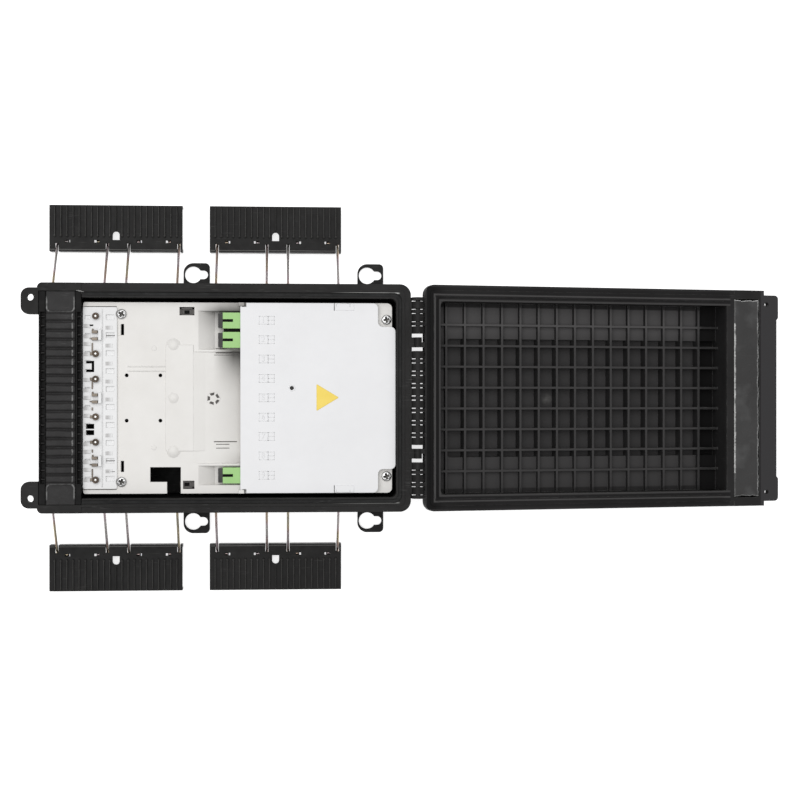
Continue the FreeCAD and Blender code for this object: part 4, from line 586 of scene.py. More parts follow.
row_step = 0.45
gel_rows = steps(gel_low.y, -cables_half, row_step)[:-1]
gel_rows += steps(-cables_half, cables_half, row_step)
gel_rows += steps(cables_half, gel_high.y, row_step)[1:]
gel_rolls = sheet_block(
    "gel_rolls",
    gel_rows,
    steps(gel_low.x, gel_high.x, 0.5),
    lambda x, y: Vector((x, y, gel_top(x, y))) * MM,
    lambda x, y: Vector((x, y, gel_low.z)) * MM,
)
mark_points(gel_rolls.data, "trim", trimmed_edge)
overlay(gel_black, point_mask(gel_black, "trim"), (0.24, 0.24, 0.237))
gel_rolls.data.materials.append(gel_black)
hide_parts("base_gel")
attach(gel_rolls, "base")

# Splice tray: a skirted plate moulded in warm white plastic, with ramped adapter bays, a vent and a
# low step, held on the base's posts by four screws. Splice holders stand in its well. A darker tone
# helps the soft shade beside the cover and in the bays, most of all round the upper adapters.
tray_white = moulded(
    "tray_white",
    (0.76, 0.742, 0.715),
    (0.80, 0.785, 0.76),
    (0.36, 0.48),
    relief=0.00002,
    edge=(0.84, 0.83, 0.81),
    shine=0.45,
)
tree = tray_white.node_tree
_, x, y, z = surface_place(tree)
uncovered = ramp(tree, x, 0.016, 0.03, 1.0, 0.0)
near_cover = sums(tree, "POWER", ramp(tree, x, -0.022, 0.013), 2.0)
deep_shade = ramp(tree, z, 0.0765, 0.0698, 0.0, 0.1)
cover_shade = product(tree, near_cover, ramp(tree, y, -0.07, 0.036, 0.1, 0.62))
lower_bay = band(tree, y, (-0.036, -0.050), (-0.0535, -0.0525))
bay_shade = product(tree, lower_bay, near_cover, 0.55)
soft_shade = product(tree, sums(tree, "MAXIMUM", deep_shade, cover_shade, bay_shade), uncovered)
corner_dark = product(
    tree,
    ramp(tree, x, -0.010, 0.006),
    ramp(tree, y, 0.0395, 0.0385),
    sums(tree, "POWER", ramp(tree, y, 0.0, 0.0345), 2.0),
)
edge_dark = product(
    tree,
    ramp(tree, x, -0.026, -0.004, 0.0, 0.9),
    ramp(tree, y, 0.0795, 0.0705),
    sums(tree, "POWER", ramp(tree, y, 0.046, 0.069), 2.0),
)
dark_shade = product(tree, sums(tree, "MAXIMUM", corner_dark, edge_dark), uncovered)
overlay(tray_white, soft_shade, (0.30, 0.285, 0.262))
overlay(tray_white, dark_shade, (0.06, 0.057, 0.05))
dress(tray_white, "splice_tray", "splice_holder_top", "splice_holder_bottom")

# Tray fittings: small features of the same moulding, such as the snap tongues beside the cable
# strip, the slits of the marker rails by the adapters, a vent plug with five slots, the easy fall
# from the low step, and the ejector marks left on the plate.
tray_top = 77.0
slope_start, slope_fall = -26.0, 0.0925


def lay_on_slope(build):
    """Let what stands past the low step follow the tray's fall towards the cover."""
    for corner in build.verts:
        corner.co.z -= slope_fall * max(0.0, corner.co.x - slope_start * MM)


def disc(build, middle, radius, top_radius, depth, segments):
    """A round plate, in millimetres, added to a mesh in the making."""
    bmesh.ops.create_cone(
        build,
        cap_ends=True,
        segments=segments,
        radius1=radius * MM,
        radius2=top_radius * MM,
        depth=depth * MM,
        matrix=Matrix.Translation(Vector(middle) * MM),
    )


tongue_left, tongue_right = -86.3, -84.0
tongue_foot, tongue_crown = tray_top - 1.4, tray_top + 0.35
build = bmesh.new()
for low, high in ((50.1, 58.7), (-58.7, -50.1)):
    block_mesh(build, (tongue_left, low, tongue_foot), (tongue_right, high, tongue_crown), 0.25)
vent_place = Vector((-10.0, -0.5, tray_top))
plug_radius, plug_top_radius, plug_depth = 5.5, 5.45, 0.06
disc(build, vent_place, plug_radius, plug_top_radius, plug_depth, 48)
ejector_line, ejector_sink, ejector_slope = -57.5, 0.3, 0.25
for y in (39.9, -39.9):
    middle = (ejector_line, y, tray_top - ejector_sink)
    for radius, rise in ((2.3, 0.18), (1.5, 0.12)):
        disc(build, middle, radius, radius - ejector_slope, 2 * (ejector_sink + rise), 40)
wedge_left, wedge_right, wedge_foot = slope_start - 0.05, -15.0, tray_top - 1.5
wedge_ends = (-42.68, 37.0)
wedge = (
    (wedge_left, wedge_foot),
    (wedge_right, wedge_foot),
    (wedge_right, tray_top - 0.12),
    (wedge_left, tray_top + 0.79),
)
prism(build, *([(x, y, z) for x, z in wedge] for y in wedge_ends))
lay_on_slope(build)
finish_piece("tray_fittings", build, tray_white, "base")
# The rail slits and the vent's slots are thin dark strips laid on the surface: painted shade for
# their depth.
slit_grey = moulded(
    "slit_grey", (0.09, 0.085, 0.08), (0.14, 0.13, 0.125), (0.5, 0.6), shine=0.1
)
slits = bmesh.new()
rail_slits = (
    (39.9, -8.3, -0.7, 0.5),
    (36.5, -8.3, 5.6, 0.8),
    (34.7, -9.6, 8.7, 0.5),
    (-35.3, -9.6, 8.8, 0.8),
    (-37.4, -7.9, 2.8, 0.6),
    (-40.5, -7.9, 2.8, 0.6),
)
for y, left, right, width in rail_slits:
    low, high = (left, y - width / 2, tray_top - 0.4), (right, y + width / 2, tray_top + 0.05)
    block_mesh(slits, low, high, 0.03)
vent_slots, first_slot, slot_rise = 5, 105.0, 0.1
slot_corners = ((3.0, -0.44), (3.0, 0.44), (5.1, 0.4), (5.1, -0.4))
for number in range(vent_slots):
    middle = math.radians(first_slot - 360.0 / vent_slots * number)
    slot_ring = []
    for radius, spread in slot_corners:
        angle = middle + spread
        corner = Vector((radius * math.cos(angle), radius * math.sin(angle), 0.0))
        slot_ring.append(corner + vent_place)
    prism(slits, slot_ring, [corner + Vector((0, 0, slot_rise)) for corner in slot_ring])
lay_on_slope(slits)
finish_piece("tray_slits", slits, slit_grey, "base")

# Clip sockets: grey moulded sockets that close the two windows at the tray's long edges. A black
# plate in each is painted shade for the pocket that takes the clip of a second tray.
socket_grey = moulded(
    "socket_grey",
    (0.05, 0.046, 0.042),
    (0.075, 0.068, 0.063),
    (0.4, 0.55),
    edge=(0.13, 0.12, 0.11),
)
# A near-black finish for plates in pits, slots and gaps: painted shade where they go deep.
pit_black = moulded(
    "pit_black", (0.003, 0.003, 0.003), (0.006, 0.006, 0.006), (0.5, 0.65), shine=0.06
)
left, right, wall = -36.7, -25.0, 1.3
foot, top = tray_top - 6.0, tray_top - 0.4
pits = bmesh.new()
build = bmesh.new()
for low, high in ((66.2, 72.7), (-72.7, -66.2)):
    block_mesh(build, (left, low, foot), (right, low + wall, top), 0.15)
    block_mesh(build, (left, high - wall, foot), (right, high, top), 0.15)
    block_mesh(build, (left, low, foot), (left + wall, high, top), 0.15)
    block_mesh(build, (right - wall * 1.6, low, foot), (right, high, top), 0.15)
    block_mesh(build, (left, low, foot - 1.0), (right, high, foot), 0.15)
    filling = (right - wall, high - wall, tray_top - 1.6)
    block_mesh(build, (left + wall, low + wall, foot), filling, 0.2)
    middle = (low + high) / 2
    pit_low, pit_high = (left + 3.4, middle - 1.6), (right - 4.2, middle + 1.2)
    block_mesh(pits, (*pit_low, tray_top - 3.0), (*pit_high, tray_top - 1.5), 0.1)
finish_piece("clip_sockets", build, socket_grey, "base")
finish_piece("clip_pits", pits, pit_black, "base")

# Tray screws: four cross-head screws of bright zinc-plated steel, turned down through the tray into
# the base's posts; each one stopped at its own angle.
zinc = moulded(
    "zinc",
    (0.5, 0.5, 0.5),
    (0.72, 0.72, 0.715),
    (0.16, 0.32),
    grain=2200.0,
    relief=0.00002,
    marks=0.6,
    worn=(0.2, 0.2, 0.2),
    metal=1.0,
)
# Painted shade: the cross recess of each head is coloured near black.
overlay(zinc, point_mask(zinc, "recess"), (0.05, 0.048, 0.045))

set_at_places, given, made = growth(
    "set_at_places",
    [
        ("NodeSocketGeometry", "Places"),
        ("NodeSocketObject", "Pattern"),
        ("NodeSocketFloat", "Widest Turn"),
        ("NodeSocketInt", "Seed"),
        ("NodeSocketMaterial", "Finish"),
    ],
)
spin = set_at_places.nodes.new("FunctionNodeRandomValue")
spin.data_type = "FLOAT"
floats = {socket.name: socket for socket in spin.inputs if socket.enabled}
feed(set_at_places, floats["Min"], 0.0)
feed(set_at_places, floats["Max"], given["Widest Turn"])
feed(set_at_places, floats["Seed"], given["Seed"])
about_z = set_at_places.nodes.new("ShaderNodeCombineXYZ")
spun = [socket for socket in spin.outputs if socket.enabled][0]
feed(set_at_places, about_z.inputs["Z"], spun)
turn = about_z.outputs["Vector"]
place_copies(set_at_places, given["Places"], given["Pattern"], turn, given["Finish"], made)


def lathe(name, outline, segments, shift=None):
    """A pattern turned about Z from (radius, height) points in millimetres."""
    build = bmesh.new()
    rings = []
    for radius, height in outline:
        if radius == 0:
            rings.append([build.verts.new((0, 0, height * MM))])
            continue
        ring = []
        for k in range(segments):
            angle = 2 * math.pi * k / segments
            x, y = radius * math.cos(angle), radius * math.sin(angle)
            lift = shift(x, y) if shift else 0.0
            ring.append(build.verts.new((x * MM, y * MM, (height + lift) * MM)))
        rings.append(ring)
    for inner, outer in zip(rings, rings[1:]):
        for k in range(segments):
            steps_round = ((inner, k), (inner, k + 1), (outer, k + 1), (outer, k))
            corners = [ring[step % segments % len(ring)] for ring, step in steps_round]
            build.faces.new(list(dict.fromkeys(corners)))
    return loose_shape(name, build, smooth=True)


def cross_recess(x, y):
    """Fall of the head inside its cross recess."""
    if abs(x) > 2.6 or abs(y) > 2.6 or min(abs(x), abs(y)) > 0.75:
        return 0.0
    return -2.1 + 0.3 * max(abs(x), abs(y))


head_radius = 3.9
dome_radii = (0.35, 0.6, 0.8, 1.1, 1.5, 1.9, 2.2, 2.5, 2.7, 3.0, 3.3, 3.6, head_radius)
head_rings = [(0, 0.3)]
head_rings += [(r, 2.4 - 0.9 * (r / head_radius) ** 2.2) for r in dome_radii]
head_rings += [(4.0, 1.0), (head_radius, 0.0), (1.5, -0.1), (1.5, -12.0), (0, -12.0)]
screw_spots = ((-83.3, 67.4), (129.9, 63.6), (-83.3, -67.4), (129.9, -63.6))
screw_places = [(x, y, tray_top) for x, y in screw_spots]
pan_head = lathe("pan_head", head_rings, 64, cross_recess)
mark_points(pan_head.data, "recess", lambda x, y, z: float(z > 0 and cross_recess(x, y) < 0))
tray_screws = set_out(
    "tray_screw_set",
    set_at_places,
    screw_places,
    pan_head,
    Widest_Turn=1.5,
    Seed=4,
    Finish=zinc,
)
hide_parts("tray_screws")
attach(tray_screws, "base")

# Cable strip: a second white moulding on the tray, a ladder of tie slots beside small pockets for
# the fibre tubes, with uprights between the strength clamps.
strip_white = moulded(
    "strip_white",
    (0.79, 0.79, 0.79),
    (0.83, 0.83, 0.835),
    (0.36, 0.48),
    relief=0.00002,
    edge=(0.86, 0.86, 0.86),
    shine=0.45,
)
dress(strip_white, "cable_strip")
strip_top = 79.0
pocket_white = moulded(
    "pocket_white",
    (0.77, 0.77, 0.77),
    (0.81, 0.81, 0.815),
    (0.4, 0.5),
    relief=0.00002,
    shine=0.3,
)
# Painted shade: each pocket is a thin plate on the strip, darker towards its left side for the
# shade of its wall.
overlay(pocket_white, point_mask(pocket_white, "depth"), (0.40, 0.39, 0.385))
build = bmesh.new()
block_mesh(build, (-2.9, -1.5, -0.3), (2.9, 1.5, 0.06), 0.05)
for x in (-1.8, -0.9, 0.0, 0.9, 1.8):
    cut = list(build.verts) + list(build.edges) + list(build.faces)
    bmesh.ops.bisect_plane(build, geom=cut, plane_co=(x * MM, 0, 0), plane_no=(1, 0, 0))
pocket = loose_shape("pocket", build)
mark_points(pocket.data, "depth", lambda x, y, z: max(0.0, 0.8 - 0.24 * abs(x + 1.4)))
pocket_count, pocket_pitch = 9, 14.4
pocket_places = []
for x, start, left_open in ((-93.1, 56.4, ()), (-110.5, 57.7, (2, 6)), (-110.5, 49.3, (2, 5))):
    for k in range(pocket_count):
        if k not in left_open:
            pocket_places.append((x, start - pocket_pitch * k, strip_top))
pockets = set_out(
    "strip_pockets",
    set_at_places,
    pocket_places,
    pocket,
    Widest_Turn=0.0,
    Seed=3,
    Finish=pocket_white,
)
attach(pockets, "base")
# Painted shade and shadow: dark strips for the rung slits, and a painted shadow along the strip's
# long edges.
rung_slits, edge_slits, slit_sink = (50.1, -50.3, -59.1), (73.4, -73.4), 0.3
build = bmesh.new()
for y in rung_slits:
    low, high = (-95.5, y - 0.25, strip_top - slit_sink), (-88.4, y + 0.25, strip_top + 0.06)
    block_mesh(build, low, high, 0.05)
for y in edge_slits:
    low, high = (-113.6, y - 0.3, tray_top - slit_sink), (-87.2, y + 0.3, tray_top + 0.1)
    block_mesh(build, low, high, 0.05)
finish_piece("strip_slits", build, slit_grey, "base")
# Painted shade: a black patch for a small pit in the strip.
build = bmesh.new()
block_mesh(build, (-108.5, 57.6, strip_top - 0.3), (-105.6, 58.9, strip_top + 0.1), 0.05)
finish_piece("strip_pit", build, pit_black, "base")

# Strength clamps: folded steel strips on the cable strip, tarnished brown, each held by two screws
# with dark bronzed rings round a bright stud.
tarnished = moulded(
    "tarnished_steel",
    (0.13, 0.108, 0.088),
    (0.23, 0.195, 0.16),
    (0.34, 0.5),
    metal=0.6,
    marks=0.6,
    worn=(0.08, 0.06, 0.045),
)
bronze = moulded(
    "dark_bronze", (0.085, 0.068, 0.055), (0.19, 0.145, 0.11), (0.28, 0.42), metal=0.8
)
stud_steel = moulded(
    "stud_steel", (0.52, 0.51, 0.49), (0.68, 0.67, 0.65), (0.2, 0.32), metal=1.0
)
clamp_forms = (
    (1, 50.5, ((-15.1, -6.4),), (-15.1,)),
    (2, 0.0, ((7.2, 15.1), (-10.0, -7.6)), (15.1, -15.1)),
    (3, -50.5, ((-15.1, -6.4), (6.8, 9.2)), (15.1, -15.1)),
)
jaw_left, jaw_right, step_down = -106.6, -101.9, 1.5
for number, middle, runs, feet in clamp_forms:
    clamp_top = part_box(f"strength_clamp_{number}")[1].z / MM
    folds = [
        (jaw_left, jaw_right, 1.2, 3.6, clamp_top, 0.2),
        (jaw_left, -105.4, 3.4, 5.0, clamp_top - step_down, 0.2),
        (jaw_left, jaw_right, -4.4, -2.0, clamp_top, 0.2),
        (-108.4, -106.4, -3.2, -2.4, clamp_top - step_down, 0.2),
    ]
    folds += [(-106.9, -105.8, low, high, strip_top + 0.9, 0.15) for low, high in runs]
    folds += [(-108.2, -103.6, foot - 1.2, foot + 1.2, strip_top + 1.1, 0.2) for foot in feet]
    build = bmesh.new()
    for left, right, low, high, top, round_by in folds:
        block_mesh(build, (left, middle + low, strip_top), (right, middle + high, top), round_by)
    clamp = finish_piece(f"clamp_strip_{number}", build, tarnished, "base")
    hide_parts(f"strength_clamp_{number}")
ring_foot, ring_top = (corner.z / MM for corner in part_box("clamp_screws"))
ring_rise = ring_top - ring_foot
ring_line, ring_rows = -103.6, (65.6, 35.4, 15.1, -15.1, -35.4, -65.6)
ring_places = [(ring_line, y, ring_foot) for y in ring_rows]
ring_outline = [(0, 0.0), (2.4, 0.0), (2.75, 0.3), (2.8, 0.9)]
ring_outline += [(2.65, ring_rise - 0.35), (2.3, ring_rise - 0.05), (2.0, ring_rise)]
ring_outline += [(1.75, ring_rise - 0.25), (1.6, ring_rise - 0.8), (0, ring_rise - 0.9)]
stud_outline = [(0, 0.5), (1.35, 0.5), (1.35, ring_rise - 0.75)]
stud_outline += [(1.15, ring_rise - 0.4), (0.7, ring_rise - 0.22), (0, ring_rise - 0.15)]
clamp_rings = set_out(
    "clamp_ring_set",
    set_at_places,
    ring_places,
    lathe("ring", ring_outline, 32),
    Widest_Turn=0.0,
    Seed=1,
    Finish=bronze,
)
clamp_studs = set_out(
    "clamp_stud_set",
    set_at_places,
    ring_places,
    lathe("stud", stud_outline, 24),
    Widest_Turn=0.0,
    Seed=1,
    Finish=stud_steel,
)
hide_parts("clamp_screws")
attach(clamp_rings, "base")
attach(clamp_studs, "base")

# Fibre adapters: light green mouldings pushed into the tray's bays, and a dark dust cap closes each
# open port. A black plate in the key slot in the top of each is painted shade, and so is a black
# block in the gap between the first two.
adapter_green = moulded(
    "adapter_green",
    (0.30, 0.56, 0.175),
    (0.345, 0.61, 0.215),
    (0.28, 0.4),
    edge=(0.42, 0.68, 0.3),
    relief=0.00002,
)
cap_dark = moulded(
    "cap_dark",
    (0.028, 0.028, 0.028),
    (0.06, 0.058, 0.056),
    (0.4, 0.55),
    edge=(0.12, 0.12, 0.115),
    shine=0.3,
)
build = bmesh.new()
for number in (1, 2, 9):
    dress(adapter_green, f"adapter_{number}")
    dress(cap_dark, f"dust_cap_{number}")
    low, high = (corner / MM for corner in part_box(f"adapter_{number}"))
    middle = (low.y + high.y) / 2
    key_low = (low.x + 0.2, middle - 1.0, high.z - 1.1)
    block_mesh(build, key_low, (low.x + 8.0, middle + 1.0, high.z - 0.35), 0.15)
# Painted shade: a black block fills the deep gap between the first two adapters.
gap_low, gap_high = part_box("adapter_2")[1].y / MM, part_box("adapter_1")[0].y / MM
gap_shade_low = (low.x + 0.6, gap_low + 0.2, low.z + 0.4)
block_mesh(build, gap_shade_low, (high.x - 0.6, gap_high - 0.2, high.z - 2.4), 0.15)
finish_piece("key_liners", build, pit_black, "base")

# Tray cover: a thin bright white moulded plate on two hinge stubs, snapped down over the splices.
# Raised frames with a number mark the nine adapter places, and a round rim stiffens its eye.
cover_white = moulded(
    "cover_white",
    (0.80, 0.80, 0.812),
    (0.825, 0.825, 0.838),
    (0.36, 0.46),
    relief=0.00001,
    edge=(0.85, 0.85, 0.86),
    shine=0.4,
)
dress(cover_white, "tray_cover")
cover_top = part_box("tray_cover")[1].z / MM
frame_count, frame_pitch, first_frame = 9, 15.6, 62.6
frame_half, frame_wall, frame_rise = 3.4, 0.5, 0.12
build = bmesh.new()
for left, right in ((0.0, 7.4), (7.4, 12.6)):
    for y in (-frame_half, frame_half - frame_wall):
        block_mesh(build, (left, y, -0.2), (right, y + frame_wall, frame_rise), 0.08)
    for x in (left, right - frame_wall):
        block_mesh(build, (x, -frame_half, -0.2), (x + frame_wall, frame_half, frame_rise), 0.08)
block_mesh(build, (7.4, -0.25, -0.2), (12.6, 0.25, frame_rise), 0.08)
number_frames = set_out(
    "number_frames",
    row_of_like,
    [(0, 0, 0)],
    loose_shape("number_frame", build),
    Count=frame_count,
    Start=Vector((26.6, first_frame, cover_top)) * MM,
    Pitch=Vector((0.0, -frame_pitch, 0.0)) * MM,
    Finish=cover_white,
)
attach(number_frames, "cover")
digits = bmesh.new()
for number in range(frame_count):
    digit = bpy.data.curves.new("digit", "FONT")
    digit.body = str(number + 1)
    digit.size = 6.4 * MM
    digit.extrude = 0.1 * MM
    digit.align_x = "CENTER"
    digit.align_y = "CENTER"
    drawn = bpy.data.objects.new("digit", digit)
    bpy.context.scene.collection.objects.link(drawn)
    seen = bpy.context.evaluated_depsgraph_get()
    shape = bpy.data.meshes.new_from_object(drawn.evaluated_get(seen), depsgraph=seen)
    digit_place = Vector((30.2, first_frame - frame_pitch * number, cover_top))
    shape.transform(Matrix.Translation(digit_place * MM))
    digits.from_mesh(shape)
    bpy.data.objects.remove(drawn)
    bpy.data.meshes.remove(shape)
same_place = 0.000001
bmesh.ops.remove_doubles(digits, verts=digits.verts, dist=same_place)
finish_piece("place_numbers", digits, cover_white, "cover")
build = bmesh.new()
eye_outline = [(1.7, 0.0), (1.75, 0.35), (2.1, 0.5), (2.6, 0.42), (3.0, 0.0)]
eye_rim = lathe("eye_rim", eye_outline, 48)
build.from_mesh(eye_rim.data)
eye_place = Vector((53.2, 8.0, cover_top - 0.05))
bmesh.ops.translate(build, verts=build.verts, vec=eye_place * MM)
bpy.data.objects.remove(eye_rim)
tab_left, tab_right, tab_half_depth = 87.6, 103.4, 0.3
for side in (1, -1):
    low, high = sorted((side * 76.3, side * 70.6))
    tab_low = (tab_left, low, cover_top - tab_half_depth)
    block_mesh(build, tab_low, (tab_right, high, cover_top + tab_half_depth), 0.3)
    grip = side * 74.9
    for x in (88.6, 99.6):
        grip_high = (x + 0.5, grip + 1.0, cover_top + 0.55)
        block_mesh(build, (x, grip - 1.0, cover_top), grip_high, 0.15)
finish_piece("cover_fittings", build, cover_white, "cover")

# Sticker: a plain triangle of yellow vinyl film with rounded corners, cut from a sheet and pressed
# on the cover by its own glue.
sticker_yellow = moulded(
    "sticker_yellow", (0.86, 0.63, 0.075), (0.90, 0.68, 0.10), (0.3, 0.42), relief=0.00001
)
corners = [Vector((73.0, 11.3)), Vector((73.0, -10.5)), Vector((91.1, 0.4))]
corner_cut, corner_steps, film_depth = 1.1, 6, 0.15
outline = []
for k, corner in enumerate(corners):
    before = (corners[k - 1] - corner).normalized() * corner_cut
    after = (corners[(k + 1) % 3] - corner).normalized() * corner_cut
    for step in range(corner_steps + 1):
        share = step / corner_steps
        outline.append(corner + before * (1 - share) ** 2 + after * share**2)
build = bmesh.new()
film_faces = (cover_top, cover_top + film_depth)
prism(build, *([(p.x, p.y, height) for p in outline] for height in film_faces))
finish_piece("sticker", build, sticker_yellow, "cover")

# Hinge pin: a drawn steel rod in each run of knuckles between the two halves, blackened against
# rust and rubbed a little bright where the knuckles turn on it.
pin_steel = moulded(
    "pin_steel",
    (0.02, 0.02, 0.02),
    (0.045, 0.045, 0.046),
    (0.3, 0.45),
    metal=0.8,
    marks=0.4,
    worn=(0.15, 0.15, 0.15),
)
dress(pin_steel, "hinge_pin")

# Lid: the shallow front half, moulded in the same black plastic with a grid of ribs inside its
# roof, and hung on the pin by its knuckles. Painted light lifts its roof, its upper rows and its
# far flange, painted shade darkens its far end and bands of its rim, and painted highlights run
# along its tongue. A pale bloom in the middle marks where the plastic entered the mould.
lid_black = moulded(
    "lid_black",
    (0.021, 0.0203, 0.0205),
    (0.030, 0.029, 0.0293),
    (0.42, 0.56),
    edge=(0.13, 0.127, 0.125),
    marks=0.35,
    worn=(0.1, 0.1, 0.1),
    shine=0.07,
)
lid_hinge = Vector((154.8, 0.0, 86.2))
lid_turn = math.radians(10.344)


def on_lid(along, across, height):
    """A place in the lid's own frame, in millimetres from the hinge axis, as it lies open."""
    x = lid_hinge.x + along * math.cos(lid_turn) + height * math.sin(lid_turn)
    z = lid_hinge.z - along * math.sin(lid_turn) + height * math.cos(lid_turn)
    return Vector((x, across, z)) * MM


tree = lid_black.node_tree
place, _, y, _ = surface_place(tree)
lid_start = on_lid(0.0, 0.0, 0.0)
lid_up, lid_out = ((on_lid(*way) - lid_start) / MM for way in ((0.0, 0.0, 1.0), (1.0, 0.0, 0.0)))
from_hinge = vector_sum(tree, "SUBTRACT", place, lid_start)["Vector"]
lid_height = vector_sum(tree, "DOT_PRODUCT", from_hinge, lid_up)["Value"]
lid_along = vector_sum(tree, "DOT_PRODUCT", from_hinge, lid_out)["Value"]
outward = tree.nodes.new("ShaderNodeTexCoord").outputs["Normal"]
facing = vector_sum(tree, "DOT_PRODUCT", outward, lid_up)["Value"]
inner_face = ramp(tree, facing, 0.3, 0.7)
inset = sums(tree, "MINIMUM", in_from_side(tree, y), sums(tree, "SUBTRACT", lid_along, 0.0061))
on_rim = product(
    tree, ramp(tree, lid_height, -0.0014, -0.0012), ramp(tree, lid_along, 0.276, 0.275)
)


def rim_band(low, high, soft=0.0003):
    """A band of the rim's face, between two distances from its edge."""
    return product(tree, band(tree, inset, (low, low + soft), (high, high - soft)), on_rim)


# Painted light: the roof's upward faces are lighter, most of all in the upper rows, and so is the
# far flange.
painted_roof_light = product(
    tree,
    ramp(tree, lid_height, -0.0145, -0.0172),
    ramp(tree, inset, 0.0165, 0.0175),
    ramp(tree, lid_along, 0.2575, 0.2505),
    inner_face,
)
painted_upper_light = product(tree, painted_roof_light, ramp(tree, y, 0.046, 0.060))
off_ribs = ramp(tree, lid_height, -0.0180, -0.0186)
end_shade = product(
    tree,
    band(tree, lid_along, (0.2535, 0.2580), (0.2725, 0.2715)),
    ramp(tree, inset, 0.0110, 0.0130),
    ramp(tree, lid_height, -0.0290, -0.0284),
    sums(tree, "MAXIMUM", off_ribs, ramp(tree, inner_face, 0.0, 1.0, 1.0, 0.0)),
    ramp(tree, lid_height, -0.003, -0.005),
)
painted_flange_light = product(tree, ramp(tree, lid_along, 0.3034, 0.3044), inner_face)
step_shade = product(
    tree,
    sums(tree, "MAXIMUM", rim_band(0.0016, 0.0072), rim_band(0.0088, 0.0118)),
    ramp(tree, lid_along, 0.014, 0.024, 1.0, 0.5),
)
# Painted highlights: pale lines along the tongue and along the rim's inner edge.
inner_highlight = product(tree, rim_band(0.0118, 0.0136), 0.7)
tongue_highlight = sums(tree, "MAXIMUM", rim_band(0.0072, 0.0088), inner_highlight)
from_gate = vector_sum(tree, "DISTANCE", place, on_lid(120.0, -0.6, -28.5))["Value"]
bloom = product(
    tree,
    ramp(tree, from_gate, 0.0055, 0.0015),
    inner_face,
    ramp(tree, cloud(tree, place, 300.0), 0.25, 0.7, 0.2, 0.9),
)
overlay(lid_black, painted_roof_light, (0.051, 0.0493, 0.0497))
overlay(lid_black, painted_upper_light, (0.082, 0.0793, 0.0798))
overlay(lid_black, end_shade, (0.0075, 0.0072, 0.0073))
overlay(lid_black, painted_flange_light, (0.046, 0.0446, 0.0464))
overlay(lid_black, step_shade, (0.009, 0.0087, 0.0088))
overlay(lid_black, tongue_highlight, (0.066, 0.064, 0.064))
overlay(lid_black, bloom, (0.12, 0.117, 0.113))
dress(lid_black, "lid_shell")

# Lid gel: a strip of the same soft gel, pressed into the lid's end so that it closes on the rolls.
# Its edges are torn and pale where the cast skin was trimmed by hand.
gel_near, gel_far, gel_reach = 278.6, 302.2, 84.4
gel_face, gel_foot = -0.75, -20.6


def torn(along, number):
    """How far the trimmed edge strays."""
    coarse = noise.noise(Vector((along * 0.11, number * 9.1, 0.0)))
    fine = noise.noise(Vector((along * 0.7, number * 5.3, 4.0)))
    return 0.6 * coarse + 0.55 * fine


def strip_place(share, y):
    """A point of the strip's top, from its hinge edge to its far edge."""
    low = gel_near + 0.6 + torn(y, 1)
    high = gel_far - 0.6 + torn(y, 2)
    along = low + (high - low) * share
    ends = max(0.0, (abs(y) - gel_reach + 2.4) / 2.4)
    across = y - math.copysign(ends * (1.3 + 2.0 * torn(along * 1.3, 3)), y)
    margin = min(share, 1.0 - share) * (high - low)
    stray = 0.6 + noise.noise(Vector((along, y * 0.9, 2.0)))
    curl = 0.32 * max(0.0, 1.0 - margin / 1.1) * stray
    wave = 0.10 * noise.noise(Vector((along * 0.09, y * 0.07, 8.0)))
    return on_lid(along, across, gel_face + max(-0.3, min(0.35, curl + wave)))


def torn_edge(share, y):
    """How pale the torn skin is at a place of the strip's top."""
    bright = 1.0 if abs(y) < 64.0 else 0.12
    near_stray = 0.75 + 0.6 * noise.noise(Vector((0.0, y * 0.17, 3.0)))
    near = bright * max(0.0, 1.0 - share / 0.08) ** 0.5 * near_stray
    far_stray = 0.7 + 0.9 * noise.noise(Vector((5.0, y * 0.09, 3.0)))
    far = 0.55 * max(0.0, 1.0 - (1.0 - share) / 0.035) * far_stray
    end = (1.0 if y > 0.0 else 0.3) * max(0.0, 1.0 - (gel_reach - abs(y)))
    ragged = 0.65 + 0.6 * noise.noise(Vector((share * 40.0, y * 1.3, 6.0)))
    return min(1.0, max(near, far, end) * max(0.0, ragged) * 1.8)


shares = [0.0, 0.012, 0.03, 0.05, 0.08]
shares += [0.12 + 0.76 * k / 24 for k in range(25)]
shares += [0.92, 0.95, 0.97, 0.988, 1.0]
rows = steps(-gel_reach, gel_reach, 0.4)
lid_strip = sheet_block(
    "lid_gel_strip",
    rows,
    shares,
    strip_place,
    lambda share, y: on_lid(gel_near + (gel_far - gel_near) * share, y, gel_foot),
)
tear = lid_strip.data.attributes.new("tear", "FLOAT", "POINT")
for k, (y, share) in enumerate((y, share) for y in rows for share in shares):
    tear.data[k].value = torn_edge(share, y)
gel_grey = moulded(
    "gel_grey",
    (0.034, 0.033, 0.033),
    (0.048, 0.047, 0.047),
    (0.42, 0.56),
    grain=450.0,
    relief=0.0002,
    marks=0.35,
    worn=(0.12, 0.12, 0.12),
    shine=0.4,
)
tree = gel_grey.node_tree
place = tree.nodes.new("ShaderNodeTexCoord").outputs["Object"]
smudge = ramp(tree, cloud(tree, place, 38.0, 3.0), 0.54, 0.72, 0.0, 0.6)
overlay(gel_grey, smudge, (0.10, 0.10, 0.10))
overlay(gel_grey, point_mask(gel_grey, "tear"), (0.72, 0.72, 0.71))
lid_strip.data.materials.append(gel_grey)
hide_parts("lid_gel")
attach(lid_strip, "lid")

